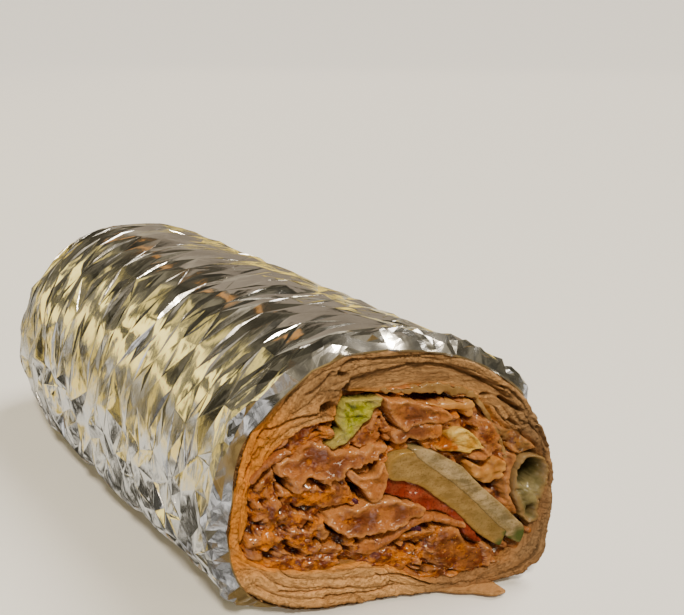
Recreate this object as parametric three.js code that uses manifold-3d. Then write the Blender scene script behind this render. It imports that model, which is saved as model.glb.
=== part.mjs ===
// Half of a kebab wrap: a flatbread rolled round meat and salad, wrapped in aluminium foil,
// cut on the slant and lying on its side with the cut facing the front.
// Millimetres. +Y runs along the roll from the cut to the closed end, +X is to the right of the cut,
// +Z is up, and the origin is on the table under the middle of the whole.

import * as THREE from "three";
import { mergeVertices } from "three/addons/utils/BufferGeometryUtils.js";
import Module from "manifold-3d";

const wasm = await Module();
wasm.setup();

const { degToRad, lerp, clamp, smoothstep } = THREE.MathUtils;

// Driving dimensions. Lengths along the roll are measured from the middle of the cut,
// heights from the underside of the bread.

const cutMiddleY = -64.2; // where the middle of the cut lies, in the whole part
const breadBase = 0.7; // underside of the bread above the table
const rollLength = 143; // middle of the cut to the closed end
const cutSlope = Math.tan(degToRad(25.3)); // the knife's slant across the roll
const clearance = 0.35; // between neighbouring pieces
const rollStations = [0, 0.4, 0.8, 0.9, 1]; // shares of the length where bread and foil have a ring

// The roll's section is four quarters of superellipses that meet at its widest level.
const section = { x: -4, z: 20, left: 27, right: 35, up: 37, down: 20 };
const squareness = { upRight: 2.15, upLeft: 2.15, downLeft: 3, downRight: 5.5 };
const rounding = { length: 42, endWidth: 0.66, endHeight: 0.42, power: 2.4, x: -3, z: 20 };

const sheet = { thickness: 1.8, gap: 0.42, end: rollLength - 6 };
const stretched = { from: -40, to: 105, ease: 20, share: 0.64 }; // degrees where the bread is pulled thin
const flap = { angle: -400, halfWidth: 9, reach: 6 }; // tongue of bread left in front of the cut

const foil = { edge: 0.75, stand: 2.1, rollIn: 6, setBack: 1.1, gather: 26, columns: 54, rowStep: 5.6 };

const meatCore = { setBack: 3.4, room: 0.6, sink: 0.5, columns: 48 };
const meatChunk = { count: 36, smallest: 2.6, largest: 4.8, seed: 11 };

// Where the knife went: the distance along the roll of the cut at a place across it.
const cutAt = (x) => -cutSlope * x;

// A point of the roll's section at an angle, at a depth under the bread's outer face.
function sectionPoint(degrees, depth) {
  const c = Math.cos(degToRad(degrees));
  const s = Math.sin(degToRad(degrees));
  const reachX = (c < 0 ? section.left : section.right) - depth;
  const reachZ = (s < 0 ? section.down : section.up) - depth;
  const side = (s < 0 ? "down" : "up") + (c < 0 ? "Left" : "Right");
  const n = squareness[side];
  const r = (Math.abs(c / reachX) ** n + Math.abs(s / reachZ) ** n) ** (-1 / n);
  return new THREE.Vector2(section.x + r * c, section.z + r * s);
}

// The closed end is rounded: the section shrinks towards its middle there.
function rounded(point, y) {
  const k = clamp((y - rollLength + rounding.length) / rounding.length, 0, 1);
  const shrink = k ** rounding.power;
  const x = lerp(point.x, lerp(rounding.x, point.x, rounding.endWidth), shrink);
  const z = lerp(point.y, lerp(rounding.z, point.y, rounding.endHeight), shrink);
  return new THREE.Vector3(x, y, z);
}

// A closed solid from rings of points, its two ends filled by triangles of the ring's own points,
// or by a fan from the middle where no triangles are given.
function loft(rings, capTriangles) {
  const count = rings[0].length;
  const points = rings.flat();
  const index = [];
  for (let ring = 0; ring + 1 < rings.length; ring++) {
    for (let i = 0; i < count; i++) {
      const next = (i + 1) % count;
      const a = ring * count + i;
      const b = ring * count + next;
      index.push(a, b, b + count, a, b + count, a + count);
    }
  }
  const last = (rings.length - 1) * count;
  if (capTriangles) {
    for (const [a, b, c] of capTriangles) index.push(a, c, b, last + a, last + b, last + c);
  } else {
    [0, last].forEach((start, end) => {
      const middle = new THREE.Vector3();
      for (let i = 0; i < count; i++) middle.addScaledVector(points[start + i], 1 / count);
      const centre = points.push(middle) - 1;
      for (let i = 0; i < count; i++) {
        const a = start + i;
        const b = start + ((i + 1) % count);
        index.push(...(end ? [a, b, centre] : [b, a, centre]));
      }
    });
  }
  const geometry = new THREE.BufferGeometry().setFromPoints(points);
  geometry.setIndex(facingOut(points, index));
  return geometry;
}

// The triangles turned round if they enclose a negative volume.
function facingOut(points, index) {
  const cross = new THREE.Vector3();
  let volume = 0;
  for (let i = 0; i < index.length; i += 3) {
    const [a, b, c] = [points[index[i]], points[index[i + 1]], points[index[i + 2]]];
    volume += a.dot(cross.crossVectors(b, c));
  }
  return volume < 0 ? index.reverse() : index;
}

// Triangles that fill an outline, turned the same way round as its points.
function fillOf(outline) {
  const triangles = THREE.ShapeUtils.triangulateShape(outline, []);
  return THREE.ShapeUtils.isClockWise(outline) ? triangles.map((corners) => corners.reverse()) : triangles;
}

// Triangles between the two long sides of a sheet's outline, as the rungs of a ladder,
// with a pointed tip at each end where the outline has them.
function rungsOf(samples, tipped) {
  const partner = (i) => 2 * samples - 1 - i + (tipped ? 1 : 0);
  const triangles = [];
  for (let i = 0; i + 1 < samples; i++) {
    triangles.push([i, i + 1, partner(i + 1)], [i, partner(i + 1), partner(i)]);
  }
  if (tipped) triangles.push([samples - 1, samples, samples + 1], [2 * samples, 2 * samples + 1, 0]);
  return triangles;
}

// A prism along the roll: an outline in the section, from its own front to its own back.
function prism(outline, stations, place, triangles = fillOf(outline)) {
  const rings = stations.map((t) => outline.map((point, i) => place(point, i, t)));
  return loft(rings, triangles);
}

function toSolid(geometry) {
  const bare = new THREE.BufferGeometry().setAttribute("position", geometry.getAttribute("position"));
  bare.setIndex(geometry.index);
  const merged = mergeVertices(bare);
  const vertProperties = merged.getAttribute("position").array;
  const triVerts = new Uint32Array(merged.index.array);
  return new wasm.Manifold(new wasm.Mesh({ numProp: 3, vertProperties, triVerts }));
}

function toGeometry(solid) {
  const mesh = solid.getMesh();
  const geometry = new THREE.BufferGeometry();
  geometry.setAttribute("position", new THREE.BufferAttribute(mesh.vertProperties, mesh.numProp));
  geometry.setIndex(new THREE.BufferAttribute(mesh.triVerts, 1));
  return geometry;
}

// The body with the largest volume, without the scraps that a cut leaves.
function largestBody(solid) {
  return solid.decompose().reduce((a, b) => (a.volume() > b.volume() ? a : b));
}

function randomSource(seed) {
  let state = seed;
  return () => {
    state = (Math.imul(state, 1664525) + 1013904223) >>> 0;
    return state / 2 ** 32;
  };
}

// A zigzag between -1 and 1 with a period of 1, as a fold in foil has.
const zigzag = (t) => 4 * Math.abs(t - Math.floor(t + 0.5)) - 1;

// The flatbread: one sheet, followed from its inner end to its outer end. Each run is a list of
// angle and layer, counted from outside, and the sheet doubles back between one run and the next.

const breadRuns = [
  [[182, 1], [33, 1]],
  [[33, 2], [103, 2]],
  [[103, 3], [28, 3], [9, 1], [-60, 1], [-82, 4], [-150, 4]],
  [[-150, 3], [-90, 3]],
  [[-90, 2], [-158, 2], [-177, 0], [-435, 0], [-460, 1], [-514, 1]],
  [[-514, 0], [-462, 0]],
];
const breadStep = 6.5; // degrees between samples of the sheet
const foldSteps = 5; // samples round a fold

function thinness(degrees) {
  const turn = (((degrees + 180) % 360) + 360) % 360 - 180;
  const entering = smoothstep(turn, stretched.from - stretched.ease, stretched.from);
  const leaving = smoothstep(turn, stretched.to, stretched.to + stretched.ease);
  return lerp(1, stretched.share, entering - leaving);
}

const layerDepth = (degrees, layer) => (layer + 0.5) * (sheet.thickness + sheet.gap) * thinness(degrees);

// The middle line of the sheet, as samples that hold their place, angle, depth and thickness.
function breadLine() {
  const line = [];
  const sample = (degrees, layer) => {
    const depth = layerDepth(degrees, layer);
    const thickness = sheet.thickness * thinness(degrees);
    return { at: sectionPoint(degrees, depth), degrees, depth, thickness };
  };
  for (const run of breadRuns) {
    const stretch = [];
    for (let i = 0; i + 1 < run.length; i++) {
      const [[fromAngle, fromLayer], [toAngle, toLayer]] = [run[i], run[i + 1]];
      const steps = Math.max(2, Math.round(Math.abs(toAngle - fromAngle) / breadStep));
      for (let step = i ? 1 : 0; step <= steps; step++) {
        const t = step / steps;
        stretch.push(sample(lerp(fromAngle, toAngle, t), lerp(fromLayer, toLayer, smoothstep(t, 0, 1))));
      }
    }
    if (line.length) line.push(...fold(line.at(-2), line.at(-1), stretch[0]));
    line.push(...stretch);
  }
  return line;
}

// Half a circle from the end of one run to the start of the next, bulging onwards.
function fold(before, end, start) {
  const middle = end.at.clone().lerp(start.at, 0.5);
  const out = end.at.clone().sub(middle);
  const onward = new THREE.Vector2(-out.y, out.x);
  if (onward.dot(end.at.clone().sub(before.at)) < 0) onward.negate();
  const samples = [];
  for (let step = 1; step < foldSteps; step++) {
    const turn = (Math.PI * step) / foldSteps;
    const at = middle.clone().addScaledVector(out, Math.cos(turn)).addScaledVector(onward, Math.sin(turn));
    samples.push({ ...end, at, depth: lerp(end.depth, start.depth, step / foldSteps) });
  }
  return samples;
}

// Both faces of a sheet that follows a line, as one closed outline.
function sheetOutline(line) {
  const faces = [[], []];
  line.forEach((sample, i) => {
    const from = line[Math.max(0, i - 1)].at;
    const to = line[Math.min(line.length - 1, i + 1)].at;
    const along = to.clone().sub(from).normalize();
    const half = sample.thickness / 2;
    const normal = new THREE.Vector2(-along.y, along.x).multiplyScalar(half);
    faces[0].push(sample.at.clone().add(normal));
    faces[1].push(sample.at.clone().sub(normal));
  });
  return [...faces[0], ...faces[1].reverse()];
}

const bread = breadLine();

function flatbread() {
  const outline = sheetOutline(bread);
  const sampleOf = (i) => (i < bread.length ? i : 2 * bread.length - 1 - i);
  const front = bread.map((sample, i) => {
    const tongue = Math.max(0, 1 - Math.abs(sample.degrees - flap.angle) / flap.halfWidth);
    return 0.35 * Math.sin(i / 1.7) + 0.25 * Math.sin(i / 0.9 + 1) - flap.reach * tongue;
  });
  const place = (point, i, t) => rounded(point, lerp(cutAt(point.x) + front[sampleOf(i)], sheet.end, t));
  return prism(outline, rollStations, place, rungsOf(bread.length, false));
}

// How deep the bread reaches near an angle, with room for the meat.
function breadDepth(degrees) {
  const near = 10;
  let deepest = 0;
  for (const sample of bread) {
    const apart = Math.abs((((sample.degrees - degrees + 180) % 360) + 360) % 360 - 180);
    if (apart < near) deepest = Math.max(deepest, sample.depth + sample.thickness / 2);
  }
  return deepest + meatCore.room;
}

// The foil: a crumpled sleeve that is rolled in at the cut and gathered at the closed end.

function crumple(degrees, y) {
  const turn = degrees / 360;
  const bands = 0.42 * zigzag(y / 15.5 + 2 * turn + 0.12 * zigzag(5 * turn));
  const slants = 0.3 * zigzag(y / 23 - 7 * turn + 0.3);
  const facets = 0.28 * zigzag(y / 31 + 11 * turn + 0.7 * zigzag(y / 44));
  return bands + slants + facets;
}

// The foil's ragged edge, a little behind the cut.
function foilEdge(degrees, x) {
  const ragged = 0.5 * zigzag(degrees / 40) + 0.3 * zigzag(degrees / 17);
  return cutAt(x) + foil.setBack + ragged;
}

function foilSleeve() {
  const angles = Array.from({ length: foil.columns }, (_, i) => (360 * i) / foil.columns);
  const table = -breadBase;
  const outerRows = Math.round(rollLength / foil.rowStep);
  const outer = [];
  for (let row = 0; row <= outerRows; row++) {
    const t = row / outerRows;
    outer.push(
      angles.map((degrees) => {
        const edge = foilEdge(degrees, sectionPoint(degrees, 0).x);
        const y = lerp(edge, rollLength, t);
        const loose = smoothstep(y - edge, 0, foil.rollIn);
        const stand = lerp(foil.edge, foil.stand + crumple(degrees, y), loose);
        const point = rounded(sectionPoint(degrees, -stand), y);
        const gathered = smoothstep(y, rollLength - foil.gather, rollLength);
        const pleat = 1 + 0.05 * zigzag(degrees / 24) * gathered;
        point.x = lerp(rounding.x, point.x, pleat);
        point.z = Math.max(table, lerp(rounding.z, point.z, pleat));
        return point;
      }),
    );
  }
  const inner = rollStations.map((t) =>
    angles.map((degrees) => {
      const point = sectionPoint(degrees, -clearance);
      return rounded(point, lerp(foilEdge(degrees, point.x), sheet.end + clearance, t));
    }),
  );
  return loft([...outer.reverse(), ...inner]);
}

// Ribbons: slices, leaves and shreds that run into the roll from the cut. A line gives the middle of
// the piece across the section, front how far it stands back from the cut, and lean how far
// it drifts sideways and up on its way in.

const ribbonSteps = 2; // samples between one point of a line and the next

const pieces = [
  { name: "meat_slice_curled", kind: "meat", thick: 1.9, front: -0.6, length: 18,
    line: [[-9.8, 32.6], [-7.6, 29.2], [-5.4, 27.1], [-3.5, 29.3], [-3.1, 33]] },
  { name: "meat_slice_broad", kind: "meat", thick: 2, front: 0.3, length: 34,
    line: [[-13, 21.3], [-8, 18.6], [-3, 18.4], [2.2, 20]] },
  { name: "meat_slice_arched", kind: "meat", thick: 1.3, front: 0.2, length: 30,
    line: [[-6, 13.4], [0, 15.4], [5, 17.8], [10, 16.8]] },
  { name: "meat_slice_ragged", kind: "meat", thick: 2.4, front: 0.4, length: 36,
    line: [[-17.6, 36], [-13.5, 35.3], [-9.4, 36], [-4.8, 38]] },
  { name: "meat_slice_left", kind: "meat", thick: 1.1, front: 0.6, length: 30,
    line: [[-24, 31], [-22.9, 34.5], [-19.6, 38.4]] },
  { name: "meat_slice_top", kind: "meat", thick: 2.6, front: 0.2, length: 32,
    line: [[-2.4, 43.6], [2, 41.8], [7, 40.4]] },
  { name: "meat_slice_middle", kind: "meat", thick: 2.2, front: 0.8, length: 32,
    line: [[-1.4, 38.4], [3, 37.7], [7.2, 37.2]] },
  { name: "onion_piece", kind: "onion", thick: 3.2, taper: 0.8, front: -0.4, length: 14,
    line: [[10.3, 36.9], [13, 36.2], [16.2, 34.3]] },
  { name: "tomato_slice", kind: "tomato", thick: 4.2, taper: 0.7, front: 0.5, length: 20,
    line: [[-0.7, 27], [3.4, 24.6], [8.8, 19.4]] },
  { name: "tomato_end", kind: "tomato", thick: 2, taper: 0.6, front: 0.6, length: 16,
    line: [[12.2, 15.8], [14, 13.8], [15.6, 11.4]] },
  { name: "red_cabbage_shred", kind: "cabbage", thick: 1.5, taper: 0.5, front: 0.3, length: 12,
    line: [[2.2, 15], [3.4, 14.7], [4.8, 14.2]] },
  { name: "red_cabbage_end", kind: "cabbage", thick: 1.2, taper: 0.5, front: 0.8, length: 12,
    line: [[-8.4, 25.4], [-7.6, 24.6], [-6.8, 23.8]] },
  { name: "lettuce_bright", kind: "leaf", thick: 1, front: -0.4, length: 9, lean: [-3.6, 2.4], wave: 0.25,
    line: [[-10.8, 38.7], [-8.2, 41.6], [-5.4, 45.2]] },
  { name: "lettuce_pocket", kind: "leaf", thick: 1, front: -0.2, length: 32, wave: 0.15,
    line: [[18.6, 38.2], [21.6, 34.2], [24.6, 29.5], [26.6, 24], [26.9, 18.8], [25.6, 16.6], [24.2, 18.4],
      [23.2, 22.5], [22.4, 27]] },
  { name: "lettuce_top", kind: "leaf", thick: 0.9, front: 0.2, length: 36, wave: 0.15,
    line: [[-2.4, 46.6], [3, 46.6], [9, 45.5], [14, 43]] },
  { name: "lettuce_under", kind: "leaf", thick: 0.8, front: 0.6, length: 30, wave: 0.15,
    line: [[4, 44.4], [8.2, 43], [12.8, 41.3]] },
  { name: "lettuce_shred", kind: "leaf", thick: 0.9, front: 0.4, length: 34, wave: 0.2,
    line: [[15.6, 40.6], [17.4, 36.6], [18.8, 32], [19.6, 27.6]] },
  { name: "lettuce_crinkled", kind: "leaf", thick: 1.3, front: 0, length: 26, wave: 0.15,
    line: [[13.4, 31.4], [15.2, 29.6], [16.8, 28.6], [17.2, 25.8]] },
];

// The outline of a ribbon, made wider all round by a margin, and moved across by its wave.
function ribbonOutline({ line, thick, taper = 0, wave = 0 }, margin, phase) {
  const curve = new THREE.SplineCurve(line.map(([x, z]) => new THREE.Vector2(x, z)));
  const steps = ribbonSteps * (line.length - 1);
  const samples = Array.from({ length: steps + 1 }, (_, i) => {
    const t = i / steps;
    const tangent = curve.getTangent(t);
    const normal = new THREE.Vector2(-tangent.y, tangent.x);
    const at = curve.getPoint(t).addScaledVector(normal, wave * Math.sin(9 * t + phase));
    const half = (thick / 2) * (1 - taper * (2 * t - 1) ** 2) + margin;
    return { at, normal, tangent, half };
  });
  const beside = ({ at, normal, half }, sign) => at.clone().addScaledVector(normal, sign * half);
  const side = (sign) => samples.map((sample) => beside(sample, sign));
  const tip = ({ at, tangent, half }, sign) => at.clone().addScaledVector(tangent, sign * half);
  return [...side(1), tip(samples.at(-1), 1), ...side(-1).reverse(), tip(samples[0], -1)];
}

function ribbon(piece, margin = 0) {
  const { front, length, lean = [0, 0] } = piece;
  const stations = piece.wave ? [0, 0.5, 1] : [0, 1];
  const outlines = stations.map((t) => ribbonOutline(piece, margin, 4 * t));
  const rings = outlines.map((outline, ring) =>
    outline.map((point) => {
      const t = stations[ring];
      const y = lerp(front - 4 * margin, front + length + margin, t);
      return new THREE.Vector3(point.x + lean[0] * t, cutAt(point.x) + y, point.y + lean[1] * t);
    }),
  );
  return loft(rings, rungsOf(outlines[0].length / 2 - 1, true));
}

// Cucumber slices: discs that stand along the roll, with the part in front of the cut taken off.

const cucumberAlong = new THREE.Vector2(0.66, -0.75).normalize(); // the way the slices run across the cut
const cucumberAcross = new THREE.Vector2(-cucumberAlong.y, cucumberAlong.x);
const cucumbers = [
  { name: "cucumber_slice_lower", radius: 15.5, along: -9.4, across: [21.3, 24.9], behind: 1 },
  { name: "cucumber_slice_upper", radius: 15.5, along: -6.6, across: [25.3, 28.3], behind: -9 },
];
const cucumberSides = 36;

function cucumberSlice({ radius, along, across, behind }, margin = 0) {
  const thick = across[1] - across[0] + 2 * margin;
  const disc = new THREE.CylinderGeometry(radius + margin, radius + margin, thick, cucumberSides);
  const flat = new THREE.Vector2()
    .addScaledVector(cucumberAlong, along)
    .addScaledVector(cucumberAcross, (across[0] + across[1]) / 2);
  const upright = new THREE.Matrix4().makeBasis(
    new THREE.Vector3(cucumberAlong.x, 0, cucumberAlong.y),
    new THREE.Vector3(cucumberAcross.x, 0, cucumberAcross.y),
    new THREE.Vector3(0, -1, 0),
  );
  upright.setPosition(flat.x, cutAt(flat.x) + behind, flat.y);
  disc.applyMatrix4(upright);
  return toSolid(disc).intersect(behindCut(0.1 - 4 * margin));
}

// A block of everything behind the cut, standing back from it by a distance.
function behindCut(back) {
  const reach = 80;
  const signs = [[-1, -1], [1, -1], [1, 1], [-1, 1]];
  const corners = signs.map(([x, z]) => new THREE.Vector2(reach * x, reach * z));
  const place = ({ x, y: z }, i, t) => new THREE.Vector3(x, cutAt(x) + back + rollLength * t, z);
  return toSolid(prism(corners, [0, 1], place));
}

// The meat: a core that fills the roll behind the cut, with chunks fused on where it shows.

// The room inside the bread, from a distance behind the cut, made smaller all round by a margin.
function cavity(front, margin) {
  const angles = Array.from({ length: meatCore.columns }, (_, i) => (360 * i) / meatCore.columns);
  const outline = angles.map((degrees) => sectionPoint(degrees, breadDepth(degrees) + margin));
  return toSolid(
    prism(outline, [0, 0.8, 1], (point, i, t) =>
      rounded(point, lerp(cutAt(point.x) + front, sheet.end - 1 - margin, t)),
    ),
  );
}

function chunk(random, x, z) {
  const size = lerp(meatChunk.smallest, meatChunk.largest, random() ** 1.5);
  const lump = new THREE.DodecahedronGeometry(size);
  lump.scale(1.25, 0.75, 0.85);
  lump.rotateY(Math.PI * random());
  lump.rotateX(0.8 * (random() - 0.5));
  const back = meatCore.setBack - 1 + 1.2 * random();
  lump.translate(x, cutAt(x) + back, z);
  return toSolid(lump);
}

function meatHeap(cutters) {
  const random = randomSource(meatChunk.seed);
  const golden = Math.PI * (3 - Math.sqrt(5));
  let heap = cavity(meatCore.setBack, meatCore.sink);
  for (let i = 0; i < meatChunk.count; i++) {
    const share = Math.sqrt((i + 0.5) / meatChunk.count);
    const degrees = (i * golden * 180) / Math.PI;
    const rim = sectionPoint(degrees, breadDepth(degrees));
    const x = lerp(section.x, rim.x, 0.96 * share);
    const z = lerp(section.z + 4, rim.y, 0.96 * share);
    heap = heap.add(chunk(random, x, z));
  }
  heap = heap.intersect(cavity(-2, 0));
  for (const cutter of cutters) heap = heap.subtract(cutter);
  return toGeometry(largestBody(heap).simplify(0.02));
}

// Colours and finishes

function finish(color, roughness, metalness = 0) {
  return new THREE.MeshStandardMaterial({ color, roughness, metalness });
}

const finishes = {
  foil: finish(0xc9c8c6, 0.18, 1),
  bread: finish(0xd2a56c, 0.75),
  meat: finish(0xb8763a, 0.45),
  onion: finish(0xe6dba0, 0.35),
  tomato: finish(0xb8402a, 0.3),
  cabbage: finish(0x5a2a55, 0.4),
  leaf: finish(0xa9b25a, 0.4),
  cucumber: finish(0xa6a860, 0.35),
};

// The whole

const wrap = new THREE.Group();
wrap.position.set(0, cutMiddleY, breadBase);

function addPiece(name, geometry, kind) {
  const mesh = new THREE.Mesh(geometry, finishes[kind]);
  mesh.name = name;
  wrap.add(mesh);
}

addPiece("foil", foilSleeve(), "foil");
addPiece("flatbread", flatbread(), "bread");
for (const piece of pieces) addPiece(piece.name, ribbon(piece), piece.kind);
for (const slice of cucumbers) addPiece(slice.name, toGeometry(cucumberSlice(slice)), "cucumber");
const grown = [
  ...pieces.map((piece) => toSolid(ribbon(piece, clearance))),
  ...cucumbers.map((slice) => cucumberSlice(slice, clearance)),
];
addPiece("meat_heap", meatHeap(grown), "meat");

const part = new THREE.Group();
part.add(wrap);

export default part;
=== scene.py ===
import math

import bpy
import numpy as np
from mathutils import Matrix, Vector
from mathutils.geometry import delaunay_2d_cdt


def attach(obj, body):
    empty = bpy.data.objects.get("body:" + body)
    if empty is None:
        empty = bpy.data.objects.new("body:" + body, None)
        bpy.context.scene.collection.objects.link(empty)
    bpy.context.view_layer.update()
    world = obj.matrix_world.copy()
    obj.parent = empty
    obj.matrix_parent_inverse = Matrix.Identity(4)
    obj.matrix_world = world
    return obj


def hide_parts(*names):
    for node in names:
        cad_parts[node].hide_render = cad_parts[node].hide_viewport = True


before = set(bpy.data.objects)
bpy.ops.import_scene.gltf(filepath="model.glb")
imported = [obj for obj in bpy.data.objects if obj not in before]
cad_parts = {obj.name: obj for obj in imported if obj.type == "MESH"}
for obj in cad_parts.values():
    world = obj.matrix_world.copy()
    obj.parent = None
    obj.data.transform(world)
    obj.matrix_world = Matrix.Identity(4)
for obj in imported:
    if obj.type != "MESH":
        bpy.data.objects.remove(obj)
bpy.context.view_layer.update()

# the roll, in millimetres: y from the middle of the cut, z from the underside of the bread
roll = {
    "cutMiddleY": -64.2,
    "breadBase": 0.7,
    "length": 143.0,
    "cutSlant": 25.3,  # degrees
    "middle": (-4.0, 20.0),  # widest level of the section
    "reach": {"left": 27.0, "right": 35.0, "up": 37.0, "down": 20.0},
    "power": {"lowLeft": 3.0, "lowRight": 5.5, "up": 2.15},  # squarer as this grows
    "endLength": 42.0,  # the closed end is rounded over this length
    "endPower": 2.4,
    "endWidth": 0.66,
    "endHeight": 0.42,
    "endMiddle": (-3.0, 20.0),
}


def smoothStep(value, low, high):
    t = np.clip((value - low) / (high - low), 0, 1)
    return t * t * (3 - 2 * t)


def mixed(a, b, t):
    return a + (b - a) * t


def zigzag(t):
    return 4 * np.abs(t - np.floor(t + 0.5)) - 1


def cutAt(x):
    return -math.tan(math.radians(roll["cutSlant"])) * x


def sectionPoint(degrees, depth):
    c, s = np.cos(np.radians(degrees)), np.sin(np.radians(degrees))
    reach = roll["reach"]
    reachX = np.where(c < 0, reach["left"], reach["right"]) - depth
    reachZ = np.where(s < 0, reach["down"], reach["up"]) - depth
    power = roll["power"]
    power = np.where(s < 0, np.where(c < 0, power["lowLeft"], power["lowRight"]), power["up"])
    r = (np.abs(c / reachX) ** power + np.abs(s / reachZ) ** power) ** (-1 / power)
    return roll["middle"][0] + r * c, roll["middle"][1] + r * s


def closedEnd(x, z, y):
    k = np.clip((y - roll["length"] + roll["endLength"]) / roll["endLength"], 0, 1) ** roll["endPower"]
    midX, midZ = roll["endMiddle"]
    return (mixed(x, mixed(midX, x, roll["endWidth"]), k),
            mixed(z, mixed(midZ, z, roll["endHeight"]), k))


def toRow(points):
    return (np.asarray(points) + (0, roll["cutMiddleY"], roll["breadBase"])) * 0.001


# seeded noise on arrays of points, between -1 and 1

def latticeValue(i, seed):
    h = i[..., 0] * 374761393 + i[..., 1] * 668265263 + i[..., 2] * 1440662683 + seed * 974711
    h = (h ^ (h >> 13)) * 1274126177
    return ((h ^ (h >> 16)) & 0xFFFF) / 65535.0


def softNoise(points, seed):
    p = np.asarray(points, float)
    if p.shape[-1] == 2:
        p = np.concatenate([p, np.zeros(p.shape[:-1] + (1,))], -1)
    low = np.floor(p).astype(np.int64)
    f = p - low
    f = f * f * (3 - 2 * f)
    total = 0
    for dx in (0, 1):
        for dy in (0, 1):
            for dz in (0, 1):
                weight = (np.where(dx, f[..., 0], 1 - f[..., 0]) * np.where(dy, f[..., 1], 1 - f[..., 1])
                          * np.where(dz, f[..., 2], 1 - f[..., 2]))
                total = total + weight * latticeValue(low + (dx, dy, dz), seed)
    return total * 2 - 1


def layeredNoise(points, seed, octaves=3):
    total, size = 0, 1.0
    for octave in range(octaves):
        total = total + size * softNoise(np.asarray(points) * 2.03 ** octave, seed + 17 * octave)
        size *= 0.5
    return total / 1.75


# places along a line as points, for noise that depends on one value
def inLine(values):
    return np.stack([values, 0 * values], -1)


def noisePair(points, seed, otherSeed):
    return np.stack([softNoise(points, seed), softNoise(points, otherSeed)], -1)


# a soft round pit: 1 in its middle, 0 outside
def pitAt(spots, x, z, wide, high, steep=2):
    return np.exp(-(((spots[:, 0] - x) / wide) ** 2 + ((spots[:, 1] - z) / high) ** 2) ** steep)


# distance of each spot to the nearest point of a line
def gapTo(spots, line):
    return np.hypot(spots[:, :1] - line[None, :, 0], spots[:, 1:] - line[None, :, 1]).min(1)


def lengthAlong(line):
    return np.concatenate([[0], np.cumsum(np.linalg.norm(np.diff(line, axis=0), axis=1))])


def turned(points, degrees):
    c, s = math.cos(math.radians(degrees)), math.sin(math.radians(degrees))
    return np.stack([points[:, 0] * c - points[:, 1] * s, points[:, 0] * s + points[:, 1] * c], -1)


# node trees: a Wire is a socket that takes part in sums, and a Desk adds nodes to one tree

class Wire:
    def __init__(self, desk, socket):
        self.desk = desk
        self.socket = socket

    def maths(self, operation, a, b):
        return self.desk.add("ShaderNodeMath", {"operation": operation}, {0: a, 1: b})

    def __add__(self, other):
        return self.maths("ADD", self, other)

    def __radd__(self, other):
        return self.maths("ADD", other, self)

    def __sub__(self, other):
        return self.maths("SUBTRACT", self, other)

    def __rsub__(self, other):
        return self.maths("SUBTRACT", other, self)

    def __mul__(self, other):
        return self.maths("MULTIPLY", self, other)

    def __rmul__(self, other):
        return self.maths("MULTIPLY", other, self)

    def size(self):
        return self.maths("ABSOLUTE", self, 0.0)

    def ramp(self, low, high, toLow=0.0, toHigh=1.0):
        sockets = {"Value": self, "From Min": low, "From Max": high, "To Min": toLow, "To Max": toHigh}
        return self.desk.add("ShaderNodeMapRange", {"interpolation_type": "SMOOTHSTEP"}, sockets)


class Desk:
    def __init__(self, tree):
        self.tree = tree

    def add(self, kind, settings=None, sockets=None, out=0):
        node = self.tree.nodes.new(kind)
        for name, value in (settings or {}).items():
            setattr(node, name, value)
        for name, value in (sockets or {}).items():
            if isinstance(value, Wire):
                self.tree.links.new(value.socket, node.inputs[name])
            else:
                node.inputs[name].default_value = value
        return Wire(self, node.outputs[out]) if node.outputs else node

    def mix(self, share, a, b):
        colours = [c if isinstance(c, Wire) else (*c, 1) for c in (a, b)]
        sockets = {0: share, 6: colours[0], 7: colours[1]}
        return self.add("ShaderNodeMix", {"data_type": "RGBA"}, sockets, 2)

    def mark(self, name):
        return self.add("ShaderNodeAttribute", {"attribute_name": name}, out="Fac")

    def place(self, stretch=(1, 1, 1), turn=(0, 0, 0)):
        spot = self.add("ShaderNodeTexCoord", out="Object")
        return self.add("ShaderNodeMapping", None, {"Vector": spot, "Scale": stretch, "Rotation": turn})

    def split(self, vector):
        parts = self.add("ShaderNodeSeparateXYZ", None, {"Vector": vector}).socket.node.outputs
        return [Wire(self, part) for part in parts]

    def noise(self, where, scale, detail=3.0, rough=0.55, warp=0.0):
        return self.add("ShaderNodeTexNoise", None, {"Vector": where, "Scale": scale, "Detail": detail,
                                                     "Roughness": rough, "Distortion": warp})

    def cells(self, where, scale, distance="EUCLIDEAN"):
        return self.add("ShaderNodeTexVoronoi", {"distance": distance}, {"Vector": where, "Scale": scale})

    def bump(self, height, depth, strength=1.0):
        return self.add("ShaderNodeBump", None, {"Height": height, "Distance": depth, "Strength": strength})


def newFinish(name, constants):
    material = bpy.data.materials.new(name)
    material.use_nodes = True
    shader = material.node_tree.nodes["Principled BSDF"]
    for socket, value in constants.items():
        shader.inputs[socket].default_value = value
    return material, Desk(material.node_tree), shader


def feed(desk, shader, links):
    for socket, wire in links.items():
        desk.tree.links.new(wire.socket, shader.inputs[socket])


# finishes, colours as linear light

foilLook = {"base": (0.84, 0.83, 0.81), "dull": (0.66, 0.64, 0.60), "fineDepth": 0.0004}


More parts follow.
